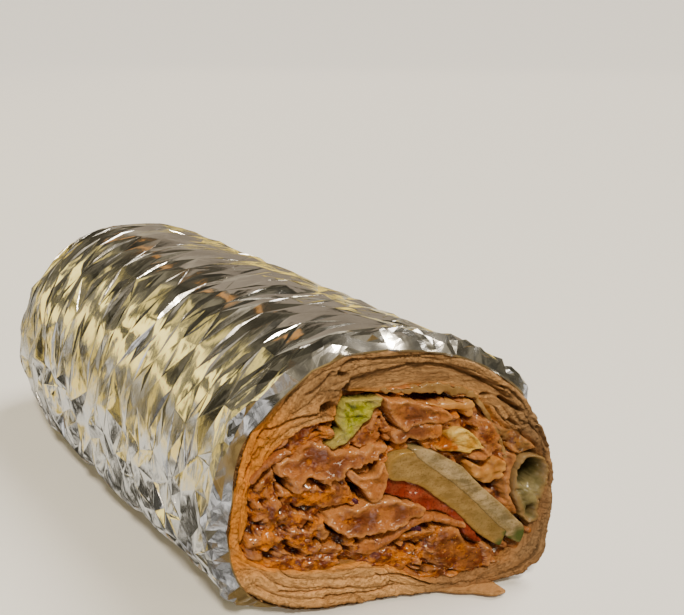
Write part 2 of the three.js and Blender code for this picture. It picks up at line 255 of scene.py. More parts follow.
def foilFinish():
    material, desk, shader = newFinish("crumpledFoil", {"Metallic": 1.0})
    where = desk.place((1, 0.55, 1), (0.3, 0.2, 0.1))
    smear = desk.noise(where, 90, 4)
    fine = desk.cells(desk.place((1, 1.6, 1), (0.5, 0.2, 0.3)), 300, distance="MANHATTAN")
    scratch = desk.noise(desk.place((0.12, 1, 0.12), (0.1, 0.2, 0.25)), 1400, 2)
    rim = desk.mark("rim")
    height = fine * (0.1 + rim * 0.15) + scratch * 0.06
    feed(desk, shader, {
        "Base Color": desk.mix(smear.ramp(0.45, 0.75), foilLook["base"], foilLook["dull"]),
        "Roughness": smear.ramp(0.3, 0.8, 0.1, 0.24),
        "Normal": desk.bump(height, foilLook["fineDepth"], 0.8),
    })
    return material


breadLook = {
    "crumb": (0.47, 0.208, 0.062),
    "paleCrumb": (0.80, 0.425, 0.160),
    "skin": (0.36, 0.165, 0.060),
    "toasted": (0.060, 0.023, 0.008),
    "stain": (0.80, 0.275, 0.020),
    # colour of the painted shade
    "shade": (0.22, 0.138, 0.074),
    "char": (0.016, 0.009, 0.005),
    # painted shade of the gaps between sheets, then painted highlight on their edges
    "line": (0.085, 0.034, 0.011),
    "sheet": (0.92, 0.540, 0.240),
    # colour of the painted shade inside slits and holes
    "hole": (0.014, 0.006, 0.002),
    "relief": 0.00024,  # metres, as in the other looks
}


def breadFinish():
    material, desk, shader = newFinish("bakedFlatbread", {"Specular IOR Level": 0.12})
    where = desk.place()
    along = desk.add("ShaderNodeAttribute", {"attribute_name": "weave"}, out="Vector")
    streaks = desk.noise(along, 1500, 4, 0.6)
    lines = desk.noise(along, 3600, 3, 0.6)
    pores = desk.cells(along, 1100)
    cloud = desk.noise(where, 260, 5, 0.65)
    patch = desk.noise(where, 75, 4, 0.6)
    speck = desk.noise(where, 620, 3, 0.6)
    flour = desk.noise(where, 1500, 4, 0.65)
    cut = desk.mark("cut")
    skin = desk.mark("skin")
    stain = desk.mark("stain")
    tint = desk.mark("tone")
    x, z = desk.split(where)[::2]
    # painted light: paler towards the top of the bread and towards its left wall
    light = z.ramp(0.01, 0.055, -0.05, 0.17) + x.ramp(-0.033, -0.012, 0.14, 0.0)
    pale = (cloud * 0.5 + streaks * 0.5 + flour * 0.5 + tint * 0.4 + light - 0.2).ramp(0.5, 0.95)
    crumb = desk.mix(pale, breadLook["crumb"], breadLook["paleCrumb"])
    crust = desk.mix(patch.ramp(0.4, 0.62), breadLook["skin"], breadLook["crumb"])
    tone = desk.mix(skin.ramp(0.55, 1.0, 0.0, 0.85), crumb, crust)
    # painted shade: thin dark lines in the gaps between the sheets; painted highlight: pale lines on the
    # sheet edges
    thin = (streaks - 0.5).size().ramp(0.0, 0.024, 1.0, 0.0) * cloud.ramp(0.36, 0.52)
    thinner = (lines - 0.5).size().ramp(0.0, 0.05, 1.0, 0.0) * cloud.ramp(0.62, 0.42)
    sheets = (streaks - 0.57).size().ramp(0.0, 0.03, 1.0, 0.0)
    sheets = sheets + (lines - 0.44).size().ramp(0.0, 0.04, 0.6, 0.0)
    tone = desk.mix(sheets * cut * 0.5, tone, breadLook["sheet"])
    tone = desk.mix(thin * cut * 0.34, tone, breadLook["line"])
    tone = desk.mix(thinner * cut * 0.22, tone, breadLook["line"])
    tone = desk.mix(pores.ramp(0.0, 0.30, 0.5, 0.0) * patch.ramp(0.4, 0.6) * cut, tone, breadLook["skin"])
    tone = desk.mix(flour.ramp(0.52, 0.66) * 0.45, tone, breadLook["skin"])
    tone = desk.mix(speck.ramp(0.62, 0.72) * (0.12 + skin * 0.5), tone, breadLook["toasted"])
    tone = desk.mix(stain * (patch * 0.6 + cloud * 0.6).ramp(0.30, 0.62) * 0.9, tone, breadLook["stain"])
    # painted shade: darker and greyer on the right, at the top and at the low right
    tone = desk.mix(desk.mark("dim") * 0.8, tone, breadLook["shade"])
    # painted shade inside the slits and holes
    tone = desk.mix(desk.mark("deep"), tone, breadLook["hole"])
    tone = desk.mix(desk.mark("char") * (cloud * 0.6 + speck * 0.6).ramp(0.5, 0.62), tone, breadLook["char"])
    height = flour * 0.7 + pores.ramp(0, 0.5) * cut * 0.4 + streaks * 0.9 + lines * 0.5 + cloud * 0.6
    height = height - (thin * 0.5 + thinner * 0.3) * cut
    feed(desk, shader, {
        "Base Color": tone,
        "Roughness": stain.ramp(0, 1, 0.8, 0.5),
        "Coat Weight": stain * patch.ramp(0.5, 0.7) * 0.25,
        "Normal": desk.bump(height, breadLook["relief"]),
    })
    return material


meatLook = {
    "pale": (0.44, 0.152, 0.038),
    "rosy": (0.20, 0.058, 0.020),
    "sauced": (0.67, 0.196, 0.002),
    "brown": (0.14, 0.017, 0.0008),
    "cream": (0.29, 0.118, 0.042),
    "green": (0.24, 0.152, 0.046),
    # colour of painted shade, and of the paste's dark blotches
    "dark": (0.042, 0.005, 0.0006),
    # pale rims, and painted highlight on ridges
    "edge": (0.70, 0.300, 0.088),
    "relief": 0.0006,
    "onSlices": 0.08,  # more sauce as this grows
    "onHeap": 0.2,
}


def meatFinish(name, sauced):
    material, desk, shader = newFinish(name, {
        "Subsurface Weight": 0.06, "Subsurface Scale": 0.001, "Subsurface Radius": (1.0, 0.35, 0.12),
        "Coat Roughness": 0.1, "Coat IOR": 1.65, "IOR": 1.4, "Specular IOR Level": 0.15})
    where = desk.place()
    grain = desk.noise(where, 1100, 2, 0.6)
    fibres = desk.noise(desk.place((1, 1, 0.3), (0.4, 0.7, 0.2)), 1300, 4, 0.6)
    cloud = desk.noise(where, 330, 4, 0.6)
    pool = desk.noise(where, 150, 4, 0.6, 0.6)
    tone = desk.mark("tone")
    creamy = desk.mark("cream")
    rosy = (cloud * 0.8 + fibres * 0.4 + desk.mark("hue") * 0.5).ramp(0.55, 1.05)
    flesh = desk.mix(rosy, meatLook["pale"], meatLook["rosy"])
    flesh = desk.mix(creamy.ramp(0, 1), flesh, meatLook["cream"])
    flesh = desk.mix((creamy + pool - 0.5).ramp(0.9, 1.7), flesh, meatLook["green"])
    sauce = desk.mix((cloud * 0.7 + grain * 0.3).ramp(0.42, 0.54), meatLook["sauced"], meatLook["brown"])
    cover = (pool * 1.2 + cloud * 0.9 + grain * 0.3 + tone * 1.1 + sauced - 1.4).ramp(0.0, 0.5)
    colour = desk.mix(cover * 0.95, flesh, sauce)
    colour = desk.mix(fibres.ramp(0.50, 0.62) * 0.35, colour, meatLook["rosy"])
    # paler rims of flakes and slices, and a painted highlight along the ridges of the heap
    colour = desk.mix(desk.mark("edge") * cloud.ramp(0.35, 0.55, 0.25, 0.75), colour, meatLook["edge"])
    # painted shade deep behind the cut, in cavities and under slices, and the dark blotches of the paste
    colour = desk.mix(desk.mark("deep").ramp(0.0, 0.9), colour, meatLook["dark"])
    height = grain * (0.35 + cover * 0.35) + fibres * 0.35 + cloud * 1.2
    feed(desk, shader, {
        "Base Color": colour,
        "Roughness": cover.ramp(0, 1, 0.55, 0.35),
        "Coat Weight": cloud.ramp(0.36, 0.54, 0.1, 1.0),
        "Normal": desk.bump(height, meatLook["relief"]),
    })
    return material


# what a leaf or slice has where its own look doesn't say
plainSalad = {
    "radius": (0.8, 1.0, 0.3), "stretch": (1, 1, 1), "turn": (0, 0, 0), "cloud": 120, "cutShare": 0.0,
    "specks": 0.0, "relief": 0.0003,
}


def saladFinish(name, look):
    tones = {"cutTone": look["base"], "speck": look["streak"], "rind": look["base"], "dark": look["cloudy"]}
    look = {**plainSalad, **tones, **look}
    material, desk, shader = newFinish(name, {
        "Subsurface Weight": look["glow"] * 0.35, "Subsurface Scale": 0.002,
        "Subsurface Radius": look["radius"], "Coat Roughness": 0.1, "Coat IOR": 1.6, "IOR": 1.35,
        "Specular IOR Level": 0.12})
    where = desk.place()
    grain = desk.noise(desk.place(look["stretch"], look["turn"]), look["grain"], 4, 0.6)
    cloud = desk.noise(where, look["cloud"], 3)
    speck = desk.noise(where, 2400, 2)
    edge = desk.mark("edge")
    cut = desk.mark("cut")
    colour = desk.mix(grain.ramp(0.36, 0.68), look["base"], look["streak"])
    colour = desk.mix(cloud.ramp(0.45, 0.7) * 0.6, colour, look["cloudy"])
    colour = desk.mix(cut * look["cutShare"], colour, look["cutTone"])
    colour = desk.mix(speck.ramp(0.52, 0.68) * look["specks"], colour, look["speck"])
    colour = desk.mix(edge, colour, look["rind"])
    # painted shade in the hollows of a leaf and at its listed shade spots
    colour = desk.mix(desk.mark("deep") * 0.85, colour, look["dark"])
    feed(desk, shader, {
        "Base Color": colour,
        "Roughness": cloud.ramp(0.3, 0.7, 0.22, 0.45),
        "Coat Weight": grain.ramp(0.35, 0.6, 0.3, 1.0),
        "Normal": desk.bump(grain + cloud * 0.6, look["relief"], 0.8),
    })
    return material


saladLooks = {
    "cucumber": {
        "base": (0.20, 0.150, 0.076), "streak": (0.58, 0.435, 0.250), "cloudy": (0.20, 0.164, 0.084),
        "rind": (0.060, 0.090, 0.022), "stretch": (0.10, 1, 1), "turn": (0, 0.88, 0), "grain": 560,
        "cutShare": 0.3, "cutTone": (0.46, 0.29, 0.09), "specks": 0.45, "speck": (0.14, 0.092, 0.025),
        "glow": 0.3, "relief": 0.00014,
    },
    "underCucumber": {
        "base": (0.26, 0.158, 0.050), "streak": (0.44, 0.280, 0.105), "cloudy": (0.20, 0.132, 0.040),
        "rind": (0.060, 0.090, 0.022), "stretch": (0.10, 1, 1), "turn": (0, 0.88, 0), "grain": 700,
        "cutShare": 0.5, "cutTone": (0.44, 0.24, 0.045), "specks": 0.4, "speck": (0.12, 0.075, 0.016),
        "glow": 0.3, "relief": 0.00014,
    },
    "tomato": {
        "base": (0.27, 0.030, 0.010), "streak": (0.36, 0.075, 0.032), "cloudy": (0.15, 0.012, 0.004),
        "radius": (1.0, 0.25, 0.12), "grain": 420, "cloud": 200, "glow": 0.2, "specks": 0.8,
        "speck": (0.12, 0.010, 0.004), "relief": 0.0005,
    },
    "brightLettuce": {
        "base": (0.28, 0.290, 0.006), "streak": (0.62, 0.58, 0.060), "cloudy": (0.14, 0.180, 0.003),
        "grain": 760, "glow": 0.3, "cutShare": 0.6, "cutTone": (0.50, 0.42, 0.11), "relief": 0.0012,
        "rind": (0.46, 0.36, 0.09), "dark": (0.05, 0.08, 0.002),
    },
    "greenLeaf": {
        "base": (0.15, 0.126, 0.050), "streak": (0.30, 0.245, 0.110), "cloudy": (0.10, 0.094, 0.024),
        "grain": 300, "glow": 0.3, "relief": 0.0005, "dark": (0.016, 0.014, 0.002),
        "rind": (0.29, 0.178, 0.070),
    },
    "dullLeaf": {
        "base": (0.30, 0.165, 0.056), "streak": (0.42, 0.245, 0.090), "cloudy": (0.20, 0.120, 0.032),
        "grain": 340, "glow": 0.3, "relief": 0.0006,
    },
    "paleLeaf": {
        "base": (0.52, 0.215, 0.048), "streak": (0.72, 0.360, 0.105), "cloudy": (0.36, 0.130, 0.022),
        "grain": 320, "glow": 0.3, "relief": 0.0005,
    },
    "onion": {
        "base": (0.72, 0.380, 0.050), "streak": (0.95, 0.680, 0.200), "cloudy": (0.60, 0.250, 0.018),
        "grain": 900, "stretch": (0.12, 1, 1), "turn": (0, 0.84, 0), "cloud": 150, "cutShare": 0.6,
        "cutTone": (0.84, 0.56, 0.13), "glow": 0.3, "relief": 0.0008, "rind": (0.44, 0.110, 0.005),
        "dark": (0.40, 0.150, 0.012),
    },
    "redCabbage": {
        "base": (0.05, 0.009, 0.030), "streak": (0.11, 0.02, 0.060), "cloudy": (0.03, 0.006, 0.02),
        "grain": 500, "radius": (0.6, 0.2, 0.5), "glow": 0.1,
    },
}


# meshes

def gridFaces(rows, columns, wrap):
    r, c = np.meshgrid(np.arange(rows - 1), np.arange(columns if wrap else columns - 1), indexing="ij")
    nxt = (c + 1) % columns
    quads = np.stack([r * columns + c, r * columns + nxt, (r + 1) * columns + nxt, (r + 1) * columns + c], -1)
    return quads.reshape(-1, 4).tolist()


def turnedOut(points, faces):
    p = np.asarray(points)
    volume = 0.0
    for size in (3, 4):
        some = np.array([f for f in faces if len(f) == size])
        for corner in range(1, size - 1):
            if len(some):
                a, b, c = p[some[:, 0]], p[some[:, corner]], p[some[:, corner + 1]]
                volume += np.einsum("ij,ij->i", a, np.cross(b, c)).sum()
    return [f[::-1] for f in faces] if volume < 0 else faces


def newPiece(name, points, faces, finish, marks=None):
    mesh = bpy.data.meshes.new(name)
    mesh.from_pydata(toRow(points).tolist(), [], turnedOut(points, faces))
    mesh.polygons.foreach_set("use_smooth", np.ones(len(mesh.polygons), bool))
    for mark, values in (marks or {}).items():
        values = np.asarray(values, np.float32)
        kind, field = ("FLOAT", "value") if values.ndim == 1 else ("FLOAT_VECTOR", "vector")
        mesh.attributes.new(mark, kind, "POINT").data.foreach_set(field, values.ravel())
    mesh.materials.append(finish)
    piece = bpy.data.objects.new(name, mesh)
    bpy.context.scene.collection.objects.link(piece)
    return piece


def settle(piece, slot, *nodes):
    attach(piece, "root")
    if nodes:
        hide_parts(*nodes)


# a geometry tree with named inputs, put on a piece, worked out and turned into plain mesh
def newTree(name, inputs):
    tree = bpy.data.node_groups.new(name, "GeometryNodeTree")
    tree.interface.new_socket("Geometry", in_out="INPUT", socket_type="NodeSocketGeometry")
    tree.interface.new_socket("Geometry", in_out="OUTPUT", socket_type="NodeSocketGeometry")
    for label, (kind, value) in inputs.items():
        socket = tree.interface.new_socket(label, in_out="INPUT", socket_type=kind)
        if value is not None:
            socket.default_value = value
    desk = Desk(tree)
    entry = tree.nodes.new("NodeGroupInput")
    wires = {socket.name: Wire(desk, socket) for socket in entry.outputs if socket.name}
    return tree, desk, wires


def endTree(desk, geometry, finish):
    geometry = desk.add("GeometryNodeRealizeInstances", None, {"Geometry": geometry})
    geometry = desk.add("GeometryNodeSetMaterial", None, {"Geometry": geometry, "Material": finish})
    outlet = desk.tree.nodes.new("NodeGroupOutput")
    desk.tree.links.new(geometry.socket, outlet.inputs[0])


def workOut(piece, tree, values):
    modifier = piece.modifiers.new(tree.name, "NODES")
    modifier.node_group = tree
    for item in tree.interface.items_tree:
        if item.item_type == "SOCKET" and item.in_out == "INPUT" and item.name in values:
            modifier[item.identifier] = values[item.name]
    bpy.context.view_layer.update()
    done = bpy.data.meshes.new_from_object(piece.evaluated_get(bpy.context.evaluated_depsgraph_get()))
    piece.modifiers.clear()
    old = piece.data
    piece.data = done
    done.name = piece.name
    bpy.data.meshes.remove(old)
    return piece


# foil

foil = {
    "columns": 130,
    "edge": 0.25,  # stands off the bread at the cut
    "stand": 2.3,  # and further back
    "setBack": -0.35,
    "rimWidth": 5.5,
    "capDepth": 22.0,  # of sheet, over the closed end
    "upperStretch": 2.6,  # facets of the upper side, round the roll
    "facet": 4.3,
    "rimFacet": 1.25,
    "crinkle": 1.6,
    "upperHeight": 0.62,
    "lowerHeight": 1.05,
    "rimHeight": 0.6,
    "crinkleHeight": 0.15,
    "deepest": 1.9,
    "crease": 22,  # degrees
    "rimCrease": 9,
    "rows": 40,
    "tries": 9000,  # at placing a corner of a facet
    "rimTries": 900,
    "lining": (0.0, 0.05, 0.4, 0.8, 0.9, 1.0),  # rows of the inner side, as shares of its length
    "liningEnd": 5.65,  # before the end of the roll
    "liningGap": 0.1,
    "seed": 4,
}


# the sheet before it is crumpled: places round the roll and along it to points
def foilPlace(degrees, along):
    length = roll["length"]
    baseX, baseZ = sectionPoint(degrees, 0)
    ragged = 0.5 * zigzag(degrees / 40) + 0.4 * softNoise(inLine(degrees / 5), 3)
    ragged = ragged + 0.35 * softNoise(inLine(degrees / 1.7), 5)
    edge = cutAt(baseX) + foil["setBack"] + ragged + 3.0 * (1 - smoothStep(baseZ, 1.5, 7.0))
    edge = edge + 4.5 * smoothStep(baseX, 22, 29)
    y = mixed(edge, length, np.clip(along / length, 0, 1))
    away = y - edge
    onTable = smoothStep(baseZ, 0.2, 5.0)
    stand = mixed(foil["edge"], foil["stand"], smoothStep(away, 0, 2.0))
    stand = stand + 0.7 * onTable * smoothStep(away, 0.3, 3.0) * (1 - smoothStep(away, 3.5, 8.0))
    x, z = closedEnd(*sectionPoint(degrees, -stand), y)
    pleat = 1 + 0.05 * zigzag(degrees / 24) * smoothStep(y, length - 26, length)
    over = np.clip((along - length) / foil["capDepth"], 0, 1)
    pleat = pleat * (1 - 0.94 * over)
    x, z = mixed(roll["endMiddle"][0], x, pleat), mixed(roll["endMiddle"][1], z, pleat)
    y = y + 1.2 * np.sin(1.5 * over)
    return np.stack([x, y, z], -1), away, baseZ


def triangles(spots, edges):
    made = delaunay_2d_cdt([Vector(spot) for spot in spots], edges, [], 0, 1e-6)
    back = [own[0] for own in made[3]]
    return [[back[i] for i in face] for face in made[2]], [[back[i] for i in edge] for edge in made[1]]


def heightWithin(spots, corners, heights, faces):
    faces = np.array(faces)
    a, b, c = (corners[faces[:, i]] for i in range(3))
    area = (b[:, 0] - a[:, 0]) * (c[:, 1] - a[:, 1]) - (b[:, 1] - a[:, 1]) * (c[:, 0] - a[:, 0])
    area = np.where(np.abs(area) < 1e-9, 1e-9, area)
    found = np.zeros(len(spots))
    for start in range(0, len(spots), 1000):
        x, y = spots[start:start + 1000, 0, None], spots[start:start + 1000, 1, None]
        v = ((x - a[:, 0]) * (c[:, 1] - a[:, 1]) - (y - a[:, 1]) * (c[:, 0] - a[:, 0])) / area
        w = ((b[:, 0] - a[:, 0]) * (y - a[:, 1]) - (b[:, 1] - a[:, 1]) * (x - a[:, 0])) / area
        inside = np.minimum(np.minimum(v, w), 1 - v - w).argmax(1)
        row = np.arange(len(inside))
        v, w, h = v[row, inside], w[row, inside], heights[faces[inside]]
        found[start:start + 1000] = h[:, 0] * (1 - v - w) + h[:, 1] * v + h[:, 2] * w
    return found


# edges that turn by more than the degrees at their first corner are kept sharp
def creaseEdges(mesh, degrees):
    normals = np.zeros(len(mesh.polygons) * 3)
    mesh.polygons.foreach_get("normal", normals)
    sizes = np.zeros(len(mesh.polygons), int)
    mesh.polygons.foreach_get("loop_total", sizes)
    edges = np.zeros(len(mesh.loops), int)
    mesh.loops.foreach_get("edge_index", edges)
    order = np.argsort(edges, kind="stable")
    owner = normals.reshape(-1, 3)[np.repeat(np.arange(len(sizes)), sizes)[order]]
    turn = np.einsum("ij,ij->i", owner[0::2], owner[1::2])
    corners = np.zeros(len(mesh.edges) * 2, int)
    mesh.edges.foreach_get("vertices", corners)
    sharp = turn < np.cos(np.radians(degrees[corners[0::2]]))
    mesh.attributes.new("sharp_edge", "BOOLEAN", "EDGE").data.foreach_set("value", sharp)


# the flat sheet's border: its points, the lines between them, and the two sides that meet round the roll
def foilBorder(wide, tall):
    columns = foil["columns"]
    across = wide * np.arange(columns + 1) / columns
    up = tall * np.arange(1, foil["rows"]) / foil["rows"]
    low = np.stack([across, 0 * across], -1)
    high = np.stack([across, 0 * across + tall], -1)
    sides = np.stack([0 * up, up], -1), np.stack([0 * up + wide, up], -1)
    n, m = columns + 1, len(up)
    left = [0, *range(2 * n, 2 * n + m), n]
    right = [columns, *range(2 * n + m, 2 * n + 2 * m), n + columns]
    edges = [line for side in (range(n), range(n, 2 * n), left, right) for line in zip(side, list(side)[1:])]
    return np.concatenate([low, high, *sides]), edges, left, right


# corners of the large facets, closer together at the rim
def facetCorners(random, wide, tall):
    corners = []
    for attempt in range(foil["tries"]):
        spot = np.array([random.uniform(1.5, wide - 1.5), random.uniform(0.7, tall - 1.5)])
        if attempt < foil["rimTries"]:
            spot[1] = random.uniform(0.7, foil["rimWidth"] + 1)
        apart = foil["rimFacet"] if spot[1] < foil["rimWidth"] else foil["facet"]
        if not corners or np.hypot(*(np.array(corners) - spot).T).min() > apart * 0.8:
            corners.append(spot)
    return np.array(corners)


def foilNormals(degrees, along, tall):
    aside = foilPlace(degrees + 0.5, along)[0] - foilPlace(degrees - 0.5, along)[0]
    ahead = foilPlace(degrees, np.minimum(along + 0.5, tall))[0] - foilPlace(degrees, along - 0.5)[0]
    normal = np.cross(ahead, aside)
    return normal / np.maximum(np.linalg.norm(normal, axis=1, keepdims=True), 1e-9)


# the inner side, from the edge at the cut to a flat end, and the middle of the closed end
def lineFoil(points, faces, turn):
    columns = foil["columns"]
    edgeY = points[:columns, 1]
    before = list(range(columns))
    for t in foil["lining"]:
        y = mixed(edgeY, roll["length"] - foil["liningEnd"], t)
        x, z = closedEnd(*sectionPoint(turn, foil["liningGap"]), y)
        after = list(range(len(points), len(points) + columns))
        points = np.concatenate([points, np.stack([x, y, z], -1)])
        for i in range(columns):
            k = (i + 1) % columns
            faces.append([before[k], before[i], after[i], after[k]])
        before = after
    far = columns + 1
    middles = points[before].mean(0), points[far:far + columns].mean(0)
    points = np.concatenate([points, middles])
    for i in range(columns):
        k = (i + 1) % columns
        faces.append([before[k], before[i], len(points) - 2])
        faces.append([far + i, far + k, len(points) - 1])
    return points


# crumpled sheet: large flat facets between scattered points, each broken into a few smaller ones
def makeFoil(finish):
    random = np.random.default_rng(foil["seed"])
    turn = -90 + np.linspace(0, 360, 1441)
    tableX, tableZ = sectionPoint(turn, 0)
    stretch = mixed(1.1, foil["upperStretch"], smoothStep((tableZ[1:] + tableZ[:-1]) / 2, 24, 36))
    squeeze = 1 / mixed(1.1, stretch, smoothStep(turn[1:], 82, 100))
    tableU = np.concatenate([[0], np.cumsum(np.hypot(np.diff(tableX), np.diff(tableZ)) * squeeze)])
    wide, tall = tableU[-1], roll["length"] + foil["capDepth"]
    border, edges, left, right = foilBorder(wide, tall)
    firstSpots = np.concatenate([border, facetCorners(random, wide, tall)])
    degrees = np.interp(firstSpots[:, 0], tableU, turn)
    away, baseZ = foilPlace(degrees, firstSpots[:, 1])[1:]
    calm = 0.85 + 0.4 * softNoise(np.stack([degrees / 22, firstSpots[:, 1] / 20], -1), 51)
    reach = mixed(foil["lowerHeight"], foil["upperHeight"], smoothStep(baseZ, 24, 38)) * calm
    reach = mixed(foil["rimHeight"], reach, smoothStep(away, foil["rimWidth"] - 1.5, foil["rimWidth"] + 1.5))
    reach = reach * smoothStep(away, 0.2, 1.6) * (1 - smoothStep(firstSpots[:, 1], tall - 10, tall))
    lift = reach * random.uniform(-1, 1, len(firstSpots))
    lift[:len(border)] = 0
    firstFaces, firstEdges = triangles(firstSpots, edges)
    step = foil["crinkle"]
    u, a = np.meshgrid(np.arange(step, wide - step, step), np.arange(step, tall - step, step), indexing="ij")
    fine = np.stack([u.ravel(), a.ravel()], -1) + random.uniform(-0.4, 0.4, (u.size, 2)) * step
    gaps = np.concatenate([gapTo(part, firstSpots) for part in np.array_split(fine, 12)])
    fine = fine[gaps > step * 0.45]
    fineDegrees = np.interp(fine[:, 0], tableU, turn)
    busy = smoothStep(softNoise(np.stack([fineDegrees / 16, fine[:, 1] / 13], -1), 52), -0.35, 0.5)
    fineLift = heightWithin(fine, firstSpots, lift, firstFaces)
    spots = np.concatenate([firstSpots, fine])
    faces = triangles(spots, firstEdges)[0]
    degrees = np.concatenate([degrees, fineDegrees])
    place, away, baseZ = foilPlace(degrees, spots[:, 1])
    crinkles = random.uniform(-1, 1, len(fine)) * foil["crinkleHeight"] * (0.2 + busy)
    fineLift = fineLift + crinkles * smoothStep(away[len(lift):], 0.3, 1.5)
    lift = np.concatenate([lift, fineLift])
    lift = np.maximum(lift, -foil["deepest"]) * smoothStep(baseZ, 0.2, 5.0)
    points = place + foilNormals(degrees, spots[:, 1], tall) * lift[:, None]
    same = np.arange(len(points))
    same[right] = left
    faces = [[same[i] for i in face] for face in faces]
    rim = smoothStep(away, 0.2, 1.5) * (1 - smoothStep(away, foil["rimWidth"] - 1.5, foil["rimWidth"] + 1))
    points = lineFoil(points, faces, np.interp(border[:foil["columns"], 0], tableU, turn))
    points[:, 2] = np.maximum(points[:, 2], -roll["breadBase"])
    used = np.unique(np.concatenate([np.array(face) for face in faces]))
    number = np.zeros(len(points), int)
    number[used] = np.arange(len(used))
    faces = [[int(number[i]) for i in face] for face in faces]
    rim = np.concatenate([rim, np.zeros(len(points) - len(rim))])[used]
    piece = newPiece("foilWrap", points[used], faces, finish, {"rim": rim})
    creaseEdges(piece.data, mixed(foil["crease"], foil["rimCrease"], smoothStep(rim, 0.1, 0.5)))
    return piece


# flatbread: one sheet from its inner end to its outer end, as runs of angle and layer

bread = {
    "thickness": 1.8,
    "gap": 0.42,
    "thinFrom": -40,
    "thinTo": 105,
    "thinShare": 0.64,
    "step": 1.2,  # degrees
    "foldSteps": 12,
    "foldSamples": 60,
    "apart": 14,  # samples further along than this count as another layer
    "wallRows": [3, 8, 20, 45, 75, 100, 112, 121, 129, 137.0],  # along the roll
    "straightFrom": 45,  # rows before this still follow the slant of the cut
    "columns": 880,
    "rings": 62,
    "seamDepth": 0.6,
    "holes": [(-12.3, 45.6, 1.35, 1.15, 7.0), (-11.7, 44.4, 0.75, 0.5, 1.6), (-8.8, 49.4, 0.6, 1.5, 3.4),
              (17.0, 44.9, 0.8, 0.45, 2.4), (-10.0, 52.6, 0.8, 0.6, 2.2)],
    "slits": [  # depth of an opening between layers, and its line
        (2.6, [(19.2, 44.0), (21.0, 42.7), (23.6, 41.2)]),
        (1.2, [(14.8, 49.4), (17.6, 47.6), (19.8, 46.2)]),
        (1.4, [(20.6, 39.8), (22.4, 38.6), (23.2, 37.8)]),
        (1.0, [(26.8, 37.0), (28.2, 34.4), (29.4, 31.6)]),
        (1.5, [(-24.6, 41.2), (-23.2, 42.6), (-20.6, 43.6), (-17.6, 44.8), (-15.0, 45.4)]),
        (0.9, [(-27.6, 33.0), (-26.4, 36.4), (-24.6, 39.2)]),
        (1.1, [(-10.6, 53.6), (-8.9, 55.4), (-6.2, 55.2), (-1, 55.4), (6, 55.2)]),
        (1.0, [(-16, 49.6), (-13.4, 51.4), (-11.8, 53.4)]),
        (1.5, [(-22, 6.2), (-16, 4.6), (-9, 4.4)]),
        (1.5, [(-14, 2.6), (-6, 2.6), (0, 2.9)]),
        (1.4, [(-4, 7.2), (2, 5.2), (7, 2.4)]),
    ],
    "broadTop": [(-10.5, 49.6), (-8.6, 51.6), (-4, 52.9), (2, 53.4), (8, 53.0), (13, 50.8), (18, 47.3),
                 (21.5, 44.0)],
    "folds": [  # layers pressed in beside the filling, as x and z
        [(-25.6, 37.5), (-22.5, 41.4), (-18.5, 44.2), (-14.2, 46.4), (-11.4, 49.6)],
        [(-25.2, 33.8), (-22.8, 37.9), (-19.4, 41.2), (-15.4, 43.6)],
        [(15.6, 44.4), (18.2, 41.2), (20.8, 38.2), (23.0, 36.8)],
        [(19.6, 45.6), (23.4, 42.4), (26.4, 38.8), (27.2, 37.8)],
        [(24.2, 38.4), (27.0, 34.4), (28.9, 29.5), (29.6, 24)],
    ],
    "runs": [
        [(182, 1), (33, 1)],
        [(33, 2), (103, 2)],
        [(103, 3), (28, 3), (9, 1), (-60, 1), (-82, 4), (-150, 4)],
        [(-150, 3), (-90, 3)],
        [(-90, 2), (-158, 2), (-177, 0), (-435, 0), (-460, 1), (-514, 1)],
        [(-514, 0), (-462, 0)],
    ],
}


def thinness(degrees):
    turn = (np.asarray(degrees) + 180) % 360 - 180
    thin = smoothStep(turn, bread["thinFrom"] - 20, bread["thinFrom"])
    thin = thin - smoothStep(turn, bread["thinTo"], bread["thinTo"] + 20)
    return mixed(1, bread["thinShare"], thin)


def breadLine():
    pitch = bread["thickness"] + bread["gap"]
    spots, numbers = [], []
    for number, run in enumerate(bread["runs"]):
        turn, layer = [], []
        for i in range(len(run) - 1):
            (fromAngle, fromLayer), (toAngle, toLayer) = run[i], run[i + 1]
            t = np.linspace(0, 1, max(2, round(abs(toAngle - fromAngle) / bread["step"])) + 1)[1 if i else 0:]
            turn.append(mixed(fromAngle, toAngle, t))
            layer.append(mixed(fromLayer, toLayer, smoothStep(t, 0, 1)))
        turn, layer = np.concatenate(turn), np.concatenate(layer)
        depth = (layer + 0.5) * pitch * thinness(turn)
        depth = depth + 0.1 * softNoise(np.stack([turn / 7, layer * 9], -1), 21)
        run = np.stack(sectionPoint(turn, depth), -1)
        if number:
            end, before, start = spots[-1][-1], spots[-1][-2], run[0]
            middle = (end + start) / 2
            out = end - middle
            onward = np.array([-out[1], out[0]])
            onward = onward * np.sign(onward @ (end - before))
            a = np.pi * np.arange(1, bread["foldSteps"]) / bread["foldSteps"]
            spots.append(middle + np.outer(np.cos(a), out) + np.outer(np.sin(a), onward))
            numbers.append(np.full(len(a), number - 0.5))
        spots.append(run)
        numbers.append(np.full(len(turn), float(number)))
    return np.concatenate(spots), np.concatenate(numbers)


breadSpots, breadRun = breadLine()


